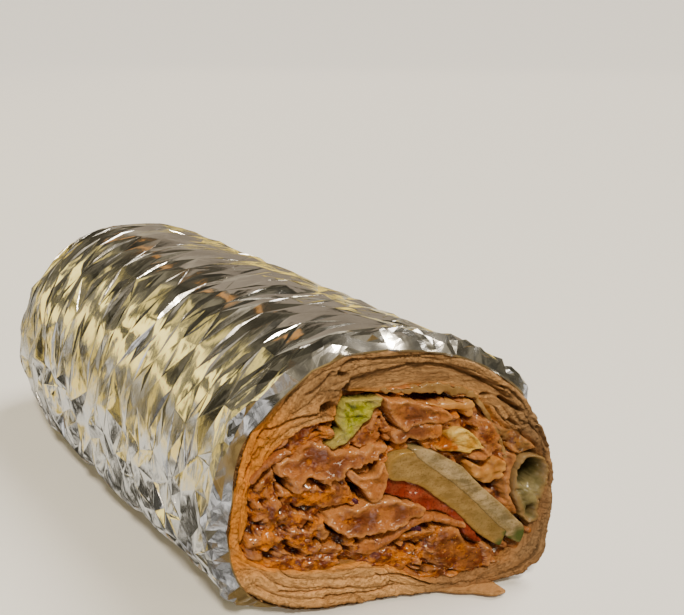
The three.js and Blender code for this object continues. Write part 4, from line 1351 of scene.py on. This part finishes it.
meat = {
    "angles": 480,
    "rings": 170,
    "bed": 3.0,  # depth of the bed between flakes
    "undercut": 2.4,  # behind and just below the slices and leaves
    "tilt": 0.22,
    "cup": (-0.3, 1.4),
    "highest": 0.2,  # before the cut
    "wallDepth": 16,
    "seed": 7,
    "zones": [  # where, how many, turn, half length and half width of a flake, least depth and tone of each
        {"x": (-28, 5), "z": (8, 31), "count": 210, "turn": (-85, 60), "long": (1.2, 3.4),
         "wide": (0.45, 1.3), "back": (0.1, 3.0), "tone": (0.05, 1.0), "fray": 0.8},
        {"x": (-25, -2), "z": (29, 44), "count": 90, "turn": (0, 90), "long": (1.2, 3.4),
         "wide": (0.4, 1.2), "back": (0.5, 2.8), "tone": (0.0, 0.9), "fray": 0.8},
        {"x": (-4, 12), "z": (29, 48), "count": 70, "turn": (100, 200), "long": (1.4, 3.8),
         "wide": (0.4, 1.2), "back": (0.5, 2.8), "tone": (0.0, 0.75), "fray": 0.7},
        {"x": (-2, 21), "z": (3, 15), "count": 90, "turn": (0, 180), "long": (0.9, 2.6),
         "wide": (0.4, 1.2), "back": (0.2, 2.2), "tone": (0.2, 0.9), "fray": 0.8},
        {"x": (9, 30), "z": (5, 46), "count": 60, "turn": (105, 140), "long": (2.5, 6.0),
         "wide": (0.5, 1.4), "back": (0.6, 3.0), "tone": (0.0, 0.6), "fray": 0.4, "cream": 0.7},
    ],
    "sheets": [  # larger shavings by outline; cream: meat at 0, pale leaf at 1, green leaf at 2
        {"back": 0.3, "tone": 0.35, "wave": 1.1,
         "outline": [(-26.4, 27.6), (-24.2, 26.4), (-22.8, 27.8), (-21.2, 26.2), (-21.6, 24.4),
                     (-19.8, 23.6), (-20.6, 21.4), (-22.2, 22.2), (-23.4, 20.6), (-24.2, 22.6), (-26, 22.4),
                     (-25.4, 24.6)]},
        {"back": 0.5, "tone": 0.3,
         "outline": [(-15, 29.2), (-12, 29.7), (-9, 28.6), (-8.2, 26.4), (-9.6, 24.4), (-12.6, 24),
                     (-14.8, 25), (-15.6, 27)]},
        {"back": 0.7, "tone": 1.0,
         "outline": [(-20.4, 28.8), (-17.6, 29), (-15, 28), (-14.4, 25.8), (-16.2, 24.8), (-18.6, 25),
                     (-20.4, 26)]},
        {"back": 1.6, "tone": 0.5,
         "outline": [(-20, 22.8), (-17.6, 23.4), (-16, 22), (-16.2, 20), (-18, 19.4), (-19.8, 20.4)]},
        {"back": 0.2, "tone": 0.0, "cream": 0.5,
         "outline": [(-14.6, 20.2), (-13, 20), (-12.7, 17.6), (-13.6, 16.6), (-14.4, 17.8)]},
        {"back": 0.3, "tone": 0.85,
         "outline": [(-28, 19.4), (-25, 20), (-22.6, 19.4), (-21.2, 17.6), (-23.6, 15.6), (-25.4, 16.6),
                     (-27.4, 17)]},
        {"back": 0.8, "tone": 1.0,
         "outline": [(-19.2, 19.4), (-16.4, 19), (-15, 17.2), (-15.6, 15), (-18, 15), (-19.6, 16.8)]},
        {"back": 0.1, "tone": 0.0,
         "outline": [(-7.4, 13.4), (-6, 15), (-3, 14.8), (-1.8, 13.4), (-3.4, 12.3), (-6, 12.2)]},
        {"back": 0.4, "tone": 0.1,
         "outline": [(-13.4, 14.6), (-11.6, 15.2), (-10, 13.9), (-11, 13), (-13, 13.2)]},
        {"back": 0.6, "tone": 0.9,
         "outline": [(-27, 14.6), (-22, 13.4), (-16, 13), (-13, 12), (-10, 10.4), (-14, 9.6), (-20, 10.2),
                     (-25, 12)]},
        {"back": 0.2, "tone": 0.95,
         "outline": [(-4.8, 12.2), (-2, 13), (0.6, 11.6), (1.4, 9), (-1.6, 9), (-4, 10)]},
        {"back": 1.2, "tone": 0.6,
         "outline": [(-20, 42.2), (-17, 42.6), (-15, 41), (-14.6, 38.4), (-17, 38), (-19.6, 39.4)]},
        {"back": 0.7, "tone": 0.15,
         "outline": [(-8, 43.2), (-5.4, 43.6), (-3.6, 44.4), (-3.2, 40), (-4, 36.8), (-6.4, 36.6), (-8, 38),
                     (-9.4, 39.6)]},
        {"back": 0.3, "tone": 0.05, "cream": 0.3,
         "outline": [(14.6, 39.6), (16.4, 40.4), (18.4, 37.8), (20, 34), (20.9, 31), (21.6, 28.8),
                     (20.4, 30.2), (19.2, 32.6), (18, 31.4), (16.2, 30.4), (13.8, 32), (15.4, 34.2)]},
        {"back": 0.5, "tone": 0.0, "cream": 1.3, "wave": 1.1,
         "outline": [(18, 39.6), (20.5, 37.6), (23.6, 36.6), (25.6, 33.8), (27.6, 31.4), (28.8, 28.6),
                     (26.4, 30.4), (24.4, 30), (22.8, 31.4), (21.4, 33.6)]},
        {"back": 0.3, "tone": 0.05, "cream": 0.9,
         "outline": [(20.9, 31.4), (22.4, 31.6), (23.6, 29.8), (23.4, 26.2), (22.6, 22.6), (23.8, 18.8),
                     (25, 16.4), (23.6, 17), (21.8, 20.4), (20.8, 23.6), (21.4, 27.4)]},
        {"back": 0.6, "tone": 0.25,
         "outline": [(8.6, 14.6), (12, 15.6), (14, 13.4), (16.6, 10.8), (18.6, 8), (17, 4.6), (13, 4),
                     (10, 6), (8, 9)]},
        {"back": -0.1, "tone": 0.1, "cream": 0.2,
         "outline": [(17.2, 10.6), (19.2, 10.4), (19.4, 8), (18.7, 3.6), (17.8, 6.4)]},
        {"back": 0.0, "tone": 0.9,
         "outline": [(-14, 41.4), (-12.6, 42), (-11.2, 41), (-11.2, 39.6), (-12.8, 39.3)]},
    ],
    "hollows": [  # x, z, half width, half height, depth
        (7.4, 45.4, 3.6, 0.9, 3.6), (26.6, 26.2, 3.2, 4.0, 12.0), (26.7, 16.6, 1.0, 2.0, 5.0),
        (-6.7, 26.8, 1.0, 1.4, 3.0), (2.9, 12.0, 1.6, 1.6, 2.4), (-17.2, 24.2, 0.8, 0.5, 2.2),
        (20.2, 23.8, 1.0, 1.4, 2.6), (-20.2, 30.6, 1.4, 0.6, 2.4), (-6.4, 32.4, 2.6, 1.0, 3.4),
        (-4.6, 16.2, 3.4, 0.7, 2.6), (9.0, 36.8, 0.8, 1.6, 1.8), (-15.7, 13.0, 0.6, 0.5, 1.6),
    ],
}


def flakeField(flat):
    random = np.random.default_rng(meat["seed"])
    top = -meat["bed"] + 0.9 * layeredNoise(flat / 2.6, 61)
    tone = 0.6 + 0.4 * softNoise(flat / 4, 62)
    rimmed, cream, hue = np.zeros(len(flat)), smoothStep(flat[:, 0], 14, 20), np.full(len(flat), 0.8)

    def lay(near, height, covers, ownTone, ownHue, ownCream, rim):
        wins = covers & (height > top[near])
        spots = near[wins]
        top[spots] = height[wins]
        tone[spots], hue[spots], cream[spots] = ownTone, ownHue, ownCream
        rimmed[spots] = rim[wins]

    jobs = []
    ranges = ("x", "z", "turn", "long", "wide", "back", "tone")
    for zone in meat["zones"]:
        for number in range(zone["count"]):
            drawn = [random.uniform(*zone[key]) for key in ranges]
            jobs.append((*drawn, zone["fray"], zone.get("cream", 0.0)))
    for x, z, turn, long, wide, back, own, fray, creamy in jobs:
        tilt = random.normal(0, meat["tilt"], 2)
        cup = random.uniform(*meat["cup"])
        seed = random.integers(1, 9000)
        near = np.nonzero(np.abs(flat - (x, z)).max(1) < long * 1.5)[0]
        if not len(near):
            continue
        off = turned(flat[near] - (x, z), -turn)
        torn = softNoise(flat[near] * 0.8, seed) + 0.7 * softNoise(flat[near] * 2.2, seed + 1)
        body = 1 - (off[:, 0] / long) ** 2 - (off[:, 1] / wide) ** 2 + fray * 0.55 * torn
        height = -back + off @ tilt * min(1, 2.5 / long) - cup * (off[:, 1] / wide) ** 2 * 0.5
        height = height + 0.3 * softNoise(off * (0.3, 0.8), seed + 2)
        height = height + 0.1 * layeredNoise(flat[near] * 1.3, seed + 3)
        height = np.minimum(height, meat["highest"]) - 0.3 * (1 - smoothStep(body, 0, 0.2))
        lay(near, height, body > 0, own, seed % 97 / 96, creamy, 1 - smoothStep(body, 0.0, 0.35))
    for number, sheet in enumerate(meat["sheets"]):
        line = smoothLoop(sheet["outline"], 160)
        near = np.nonzero(((flat > line.min(0) - 0.5) & (flat < line.max(0) + 0.5)).all(1))[0]
        own = flat[near]
        torn = own + 0.35 * noisePair(own / 0.9, 300 + number, 340 + number)
        torn = torn + 0.2 * noisePair(own / 0.4, 310 + number, 350 + number)
        gaps, within = edgeGap(torn, line)
        height = -sheet["back"] + 0.25 * smoothStep(gaps, 0, 2)
        height = height + sheet.get("wave", 0.6) * layeredNoise(own / 2.4, 380 + number)
        height = height + 0.08 * softNoise(own * 1.9, 390 + number) - 0.35 * (1 - smoothStep(gaps, 0, 0.25))
        lay(near, height, within, sheet["tone"], number * 0.37 % 0.8, sheet.get("cream", 0.0),
            1 - smoothStep(gaps, 0.0, 0.4))
    for spec in patches.values():
        line = smoothLoop(spec["outline"], 160)
        near = np.nonzero(((flat > line.min(0) - 1.6) & (flat < line.max(0) + 1.6)).all(1))[0]
        gaps, within = edgeGap(flat[near], line)
        above = edgeGap(flat[near] + (0, 1.4), line)[1]
        below = above * (1 - smoothStep(gaps, 0.4, 1.5))
        top[near] -= meat["undercut"] * np.where(within, smoothStep(gaps, 0, 0.6), below)
    tone = tone * (1 - 0.7 * np.minimum(cream, 1))
    for x, z, wide, high, deep in meat["hollows"]:
        top = top - deep * pitAt(flat, x, z, wide, high)
    return top, tone, rimmed, cream, hue


# average over a few rings and angles to each side
def blurred(values, rings, angles):
    padded = np.pad(values, ((rings, rings), (0, 0)), mode="edge")
    values = sum(padded[i:i + len(values)] for i in range(2 * rings + 1)) / (2 * rings + 1)
    return sum(np.roll(values, i, 1) for i in range(-angles, angles + 1)) / (2 * angles + 1)


def makeMeatHeap(finish):
    degrees = 360 * np.arange(meat["angles"]) / meat["angles"]
    radius = radiusAt(roomLine, degrees) + 0.6
    rimX = roomMiddle[0] + radius * np.cos(np.radians(degrees))
    rimZ = roomMiddle[1] + radius * np.sin(np.radians(degrees))
    t = np.linspace(1, 0, meat["rings"], endpoint=False) ** 0.8
    x = mixed(roomMiddle[0], rimX[None, :], t[:, None])
    z = mixed(roomMiddle[1], rimZ[None, :], t[:, None])
    flat = np.stack([x, z], -1).reshape(-1, 2)
    top, tone, rimmed, cream, hue = flakeField(flat)
    shape = (meat["rings"], meat["angles"])
    top = blurred(top.reshape(shape), 1, 1).ravel() * 0.5 + top * 0.5
    dip = (blurred(top.reshape(shape), 7, 5) - top.reshape(shape)).ravel()
    granular = smoothStep(tone + 0.5 * softNoise(flat / 3, 69), 0.45, 0.9)
    top = top + granular * (0.14 * softNoise(flat * 1.1, 70) + 0.07 * softNoise(flat * 2.3, 71))
    tone = tone * 0.8 + 0.45 * smoothStep(dip, -0.3, 0.7) - 0.1 + 0.25 * softNoise(flat / 2.2, 68)
    tone = np.clip(tone, 0, 1)
    back = -top + 0.3 * smoothStep(np.repeat(t, meat["angles"]), 0.97, 1.0)
    points = np.stack([flat[:, 0], cutAt(flat[:, 0]) + back, flat[:, 1]], -1)
    points[:, 0] += 0.25 * softNoise(points / 1.5, 65)
    points[:, 2] += 0.25 * softNoise(points / 1.5, 66)
    wall = np.stack([rimX, cutAt(rimX) + meat["wallDepth"], rimZ], -1)
    points = np.concatenate([wall, points])
    faces = gridFaces(meat["rings"] + 1, meat["angles"], True)
    last = meat["rings"] * meat["angles"]
    for start, turn in ((0, 1), (last, -1)):
        points = np.concatenate([points, points[start:start + meat["angles"]].mean(0, keepdims=True)])
        for i in range(meat["angles"]):
            faces.append([start + (i + 1) % meat["angles"], start + i, len(points) - 1][::turn])
    # the deep mark: painted shade deeper behind the cut, under slices and in cavities, plus the paste's own
    # dark blotches at the low right
    mush = 0.35 * smoothStep(flat[:, 0], -2, 6) * (1 - smoothStep(flat[:, 1], 12, 17))
    mush = mush * smoothStep(softNoise(flat / 3, 67), -0.6, 0.4)
    deep = np.maximum(np.maximum(smoothStep(back, 1.7, 4.0), 0.9 * smoothStep(dip, 0.2, 1.0)), mush)
    # paler rims of the flakes, and a painted highlight along the ridges
    edge = np.maximum(rimmed, 0.8 * smoothStep(-dip, 0.15, 0.7))
    marks = {"tone": tone, "deep": deep, "edge": edge, "cream": cream, "hue": hue}
    wall = np.zeros(meat["angles"])
    marks = {name: np.concatenate([wall, values, [0, 0]]) for name, values in marks.items()}
    return newPiece("meatHeap", points, faces, finish, marks), (flat, back, occupied(flat))


# bits strewn over the cut face: beads of sauce and charred specks

bits = {
    "sauceBeads": {"count": 150, "x": (-27, 22), "z": (5, 45), "size": (0.08, 0.24),
                   "shape": (1.5, 0.6, 1.0), "rough": 0.25, "lean": 0.35, "seed": 5},
    "pepperSpecks": {"count": 45, "x": (-27, 26), "z": (5, 45), "size": (0.07, 0.16),
                     "shape": (1.3, 0.6, 1.0), "rough": 0.4, "lean": 0.35, "seed": 8},
}


def strewTree(name, finish):
    tree, desk, wires = newTree(name, {
        "Shape": ("NodeSocketVector", (1.0, 1.0, 1.0)), "Roughness": ("NodeSocketFloat", 0.3),
        "Lean": ("NodeSocketFloat", 0.5), "Seed": ("NodeSocketInt", 0)})
    ball = desk.add("GeometryNodeMeshIcoSphere", None, {"Radius": 1.0, "Subdivisions": 3})
    where = desk.add("GeometryNodeInputPosition")
    swell = desk.add("ShaderNodeTexNoise", None, {"Vector": where, "Scale": 1.6, "Detail": 2.0}, "Fac")
    push = desk.add("ShaderNodeVectorMath", {"operation": "SCALE"}, {
        0: desk.add("GeometryNodeInputNormal"), "Scale": (swell - 0.5) * wires["Roughness"] * 3.0})
    ball = desk.add("GeometryNodeSetPosition", None, {"Geometry": ball, "Offset": push})
    ball = desk.add("GeometryNodeTransform", None, {"Geometry": ball, "Scale": wires["Shape"]})
    ball = desk.add("GeometryNodeSetShadeSmooth", None, {"Geometry": ball})
    lean = wires["Lean"]
    low = desk.add("ShaderNodeCombineXYZ", None, {"X": lean * -1.0, "Y": 0.0, "Z": lean * -1.0})
    high = desk.add("ShaderNodeCombineXYZ", None, {"X": lean, "Y": 6.28, "Z": lean})
    turn = desk.add("FunctionNodeRandomValue", {"data_type": "FLOAT_VECTOR"},
                    {0: low, 1: high, "Seed": wires["Seed"]})
    size = desk.add("GeometryNodeInputNamedAttribute", {"data_type": "FLOAT"}, {"Name": "size"})
    strewn = desk.add("GeometryNodeInstanceOnPoints", None, {
        "Points": wires["Geometry"], "Instance": ball, "Rotation": turn, "Scale": size})
    endTree(desk, strewn, finish)
    return tree


def strew(name, heights, finish):
    spec = bits[name]
    random = np.random.default_rng(spec["seed"])
    flat, back, taken = heights
    flat = np.concatenate([flat] + [spots for spots, depth in sliceFronts])
    back = np.concatenate([back] + [depth for spots, depth in sliceFronts])
    taken = np.concatenate([taken, np.zeros(len(flat) - len(taken), bool)])
    degrees = np.degrees(np.arctan2(flat[:, 1] - roomMiddle[1], flat[:, 0] - roomMiddle[0])) % 360
    inside = np.hypot(*(flat - roomMiddle).T) < radiusAt(roomLine, degrees) - 1.2
    inside &= (flat[:, 0] > spec["x"][0]) & (flat[:, 0] < spec["x"][1])
    inside &= (flat[:, 1] > spec["z"][0]) & (flat[:, 1] < spec["z"][1]) & ~taken
    radius = np.hypot(*(flat - roomMiddle).T) * inside
    picks = random.choice(len(flat), spec["count"], replace=False, p=radius / radius.sum())
    spots = np.stack([flat[picks, 0], cutAt(flat[picks, 0]) + back[picks], flat[picks, 1]], -1)
    mesh = bpy.data.meshes.new(name)
    mesh.from_pydata(toRow(spots).tolist(), [], [])
    sizes = random.uniform(*spec["size"], len(picks)) * 0.001
    mesh.attributes.new("size", "FLOAT", "POINT").data.foreach_set("value", sizes.astype(np.float32))
    piece = bpy.data.objects.new(name, mesh)
    bpy.context.scene.collection.objects.link(piece)
    return workOut(piece, strewTree(name + "Tree", finish), {
        "Shape": spec["shape"], "Roughness": spec["rough"], "Lean": spec["lean"], "Seed": spec["seed"]})


# room that the slices and leaves take up, with a margin
covered = {"line": 0.8, "outline": 1.4, "rings": (0.2, 0.5, 0.75, 1)}


def occupied(flat):
    taken = np.zeros(len(flat), bool)
    for spec in [*ribbons.values(), *patches.values()]:
        if "line" in spec:
            line, reach = smoothLine(spec["line"], 40), spec["thick"] / 2 + covered["line"]
        else:
            middle = np.mean(spec["outline"], 0)
            edge = smoothLoop(spec["outline"], 60)
            line = np.concatenate([mixed(middle, edge, share) for share in covered["rings"]])
            reach = covered["outline"]
        taken |= gapTo(flat, line) < reach
    return taken


sauceLook = {"bead": (0.42, 0.12, 0.004), "glow": (0.55, 0.22, 0.02), "char": (0.030, 0.014, 0.007),
             "ash": (0.10, 0.055, 0.025)}


def sauceFinish():
    material, desk, shader = newFinish("oilySauce", {
        "Coat Weight": 1.0, "Coat Roughness": 0.05, "Roughness": 0.25, "Subsurface Weight": 0.2,
        "Subsurface Scale": 0.0006})
    cloud = desk.noise(desk.place(), 500, 3)
    feed(desk, shader, {"Base Color": desk.mix(cloud.ramp(0.4, 0.65), sauceLook["bead"], sauceLook["glow"])})
    return material


def charFinish():
    material, desk, shader = newFinish("charredSpecks", {"Roughness": 0.7, "Specular IOR Level": 0.2})
    cloud = desk.noise(desk.place(), 900, 3)
    feed(desk, shader, {"Base Color": desk.mix(cloud.ramp(0.4, 0.7), sauceLook["char"], sauceLook["ash"]),
                        "Normal": desk.bump(cloud, 0.0002)})
    return material


print("foil")
settle(makeFoil(foilFinish()), "foil", "foil")
print("bread")
bakedBread = breadFinish()
settle(makeBread(bakedBread), "bread", "flatbread")
settle(makeFlap(bakedBread), "bread")
print("filling")
slotOf = {"slice": "meat_slice", "redCabbage": "red_cabbage", "underCucumber": "cucumber",
          "brightLettuce": "lettuce", "greenLeaf": "lettuce", "dullLeaf": "lettuce", "paleLeaf": "lettuce"}
kindFinishes = {kind: saladFinish(kind + "Finish", look) for kind, look in saladLooks.items()}
kindFinishes["slice"] = meatFinish("meatSliceFinish", meatLook["onSlices"])
for number, (node, spec) in enumerate([*ribbons.items(), *patches.items()]):
    words = node.split("_")
    name = words[0] + "".join(word.capitalize() for word in words[1:])
    make = makeRibbon if "line" in spec else makePatch
    piece = make(name, spec, kindFinishes[spec["kind"]], 100 + 10 * number)
    settle(piece, slotOf.get(spec["kind"], spec["kind"]), node)
heap, heights = makeMeatHeap(meatFinish("shreddedMeat", meatLook["onHeap"]))
settle(heap, "meat", "meat_heap")
print("strewn bits")
for name, finish in (("sauceBeads", sauceFinish()), ("pepperSpecks", charFinish())):
    settle(strew(name, heights, finish), "meat")

# floor, light and camera

studio = {
    "floor": (0.95, 0.945, 0.94),
    "floorReach": 30,  # metres
    "aim": (0, 0, 0.025),  # of the panels
    "above": ((0.035, 0.031, 0.020), (0.26, 0.225, 0.150)),  # dark and light of the surroundings
    "behindBelow": ((0.055, 0.049, 0.036), (1.10, 1.02, 0.86)),
    "beside": ((0.09, 0.085, 0.075), (1.35, 1.32, 1.30)),
    "frontBelow": ((0.16, 0.098, 0.034), (0.52, 0.33, 0.11)),
    "streak": (1.9, 1.35, 0.26),
    "wall": (1.42, 1.32, 1.14),  # what the camera sees past the floor
}

suns = {
    "key": {"from": (-0.30, -0.50, 0.81), "spread": 9, "power": 2.9, "tint": (1.0, 0.88, 0.69)},
    "overhead": {"from": (0.5, -0.1, 0.85), "spread": 30, "power": 2.9, "tint": (1.0, 0.93, 0.82)},
}
panels = {
    "warmLow": {"at": (-0.50, 0.66, 0.13), "size": (0.50, 0.10), "power": 0.36, "tint": (1.0, 0.76, 0.18)},
    "warmMiddle": {"at": (-0.42, 0.67, 0.34), "size": (0.46, 0.10), "power": 0.40, "tint": (1.0, 0.78, 0.20)},
    "warmHigh": {"at": (-0.32, 0.68, 0.54), "size": (0.50, 0.12), "power": 0.22, "tint": (1.0, 0.76, 0.18)},
    "oliveBehind": {"at": (-0.55, 0.95, 0.50), "size": (1.3, 1.0), "power": 0.36, "tint": (1.0, 0.86, 0.50)},
    "amberBehind": {"at": (0.16, 0.72, 0.60), "size": (0.06, 0.4), "power": 0.05, "tint": (1.0, 0.40, 0.06)},
    "frontFill": {"at": (-0.95, -0.75, 0.85), "size": (0.8, 0.8), "power": 0.7, "tint": (1.0, 0.88, 0.68)},
    "glint": {"at": (0.25, -1.0, 0.42), "size": (0.30, 0.10), "power": 1.9, "tint": (1.0, 0.86, 0.62)},
    "lowGlint": {"at": (-0.16, -0.92, 0.15), "size": (0.34, 0.05), "power": 0.7, "tint": (1.0, 0.86, 0.62)},
    "brownBehind": {"at": (0.70, 0.75, 0.45), "size": (0.9, 0.7), "power": 0.6, "tint": (1.0, 0.80, 0.60)},
}


# a lamp that shines from a direction or, where it has a place, from there
def addLamp(name, kind, spec, direction):
    lamp = bpy.data.lights.new(name, kind)
    lamp.energy = spec["power"]
    lamp.color = spec["tint"]
    holder = bpy.data.objects.new(name, lamp)
    holder.location = spec.get("at", (0, 0, 0))
    holder.rotation_euler = Vector(direction).to_track_quat("Z", "Y").to_euler()
    bpy.context.scene.collection.objects.link(holder)
    return lamp


def makeStudio():
    world = bpy.data.worlds.new("studio")
    bpy.context.scene.world = world
    world.use_nodes = True
    desk = Desk(world.node_tree)
    around = desk.add("ShaderNodeTexCoord", out="Generated")
    clouds = desk.noise(around, 2.6, 3, 0.6).ramp(0.40, 0.70)
    bright = desk.noise(around, 4.2, 3, 0.6).ramp(0.46, 0.60)
    streaks = desk.noise(around, 5.5, 2, 0.5).ramp(0.50, 0.60)
    x, y, z = desk.split(around)
    below = z.ramp(0.05, -0.05)
    front = y.ramp(0.55, 0.15)
    aside = x.ramp(-0.35, -0.6) + x.ramp(0.62, 0.8)
    near = streaks * z.ramp(-0.5, -0.1)
    behind = desk.mix(near, desk.mix(bright, *studio["behindBelow"]), studio["streak"])
    ahead = desk.mix(aside, desk.mix(clouds, *studio["frontBelow"]), desk.mix(bright, *studio["beside"]))
    lower = desk.mix(front, behind, ahead)
    around = desk.mix(below, desk.mix(clouds, *studio["above"]), lower)
    seen = desk.add("ShaderNodeLightPath", out="Is Camera Ray")
    around = desk.mix(seen, around, studio["wall"])
    desk.tree.links.new(around.socket, world.node_tree.nodes["Background"].inputs["Color"])
    mesh = bpy.data.meshes.new("floor")
    reach = studio["floorReach"]
    corners = [(-reach, -reach, 0), (reach, -reach, 0), (reach, reach, 0), (-reach, reach, 0)]
    mesh.from_pydata(corners, [], [(0, 1, 2, 3)])
    floor = bpy.data.objects.new("floor", mesh)
    bpy.context.scene.collection.objects.link(floor)
    mesh.materials.append(newFinish("paleFloor", {"Base Color": (*studio["floor"], 1), "Roughness": 0.6})[0])
    floor.visible_glossy = False
    floor.visible_diffuse = False
    for name, spec in suns.items():
        lamp = addLamp(name, "SUN", spec, spec["from"])
        lamp.angle = math.radians(spec["spread"])
    for name, spec in panels.items():
        lamp = addLamp(name, "AREA", spec, Vector(spec["at"]) - Vector(studio["aim"]))
        lamp.shape = "RECTANGLE"
        lamp.size, lamp.size_y = spec["size"]


view = {
    "lens": 47.37,
    "sensor": 36,
    "nearest": 0.01,  # metres
    "at": (-106.42, -116.24, 122.6),  # in the millimetres of the roll
    "azimuth": -38.4,  # degrees
    "elevation": 20,
}


def makeCamera():
    eye = bpy.data.cameras.new("photoView")
    eye.lens = view["lens"]
    eye.sensor_width = view["sensor"]
    eye.clip_start = view["nearest"]
    camera = bpy.data.objects.new("photoView", eye)
    camera.location = toRow([view["at"]])[0]
    azimuth, elevation = math.radians(view["azimuth"]), math.radians(view["elevation"])
    back = Vector((math.sin(azimuth) * math.cos(elevation), -math.cos(azimuth) * math.cos(elevation),
                   math.sin(elevation)))
    camera.rotation_euler = back.to_track_quat("Z", "Y").to_euler()
    bpy.context.scene.collection.objects.link(camera)
    bpy.context.scene.camera = camera


print("studio")
makeStudio()
makeCamera()
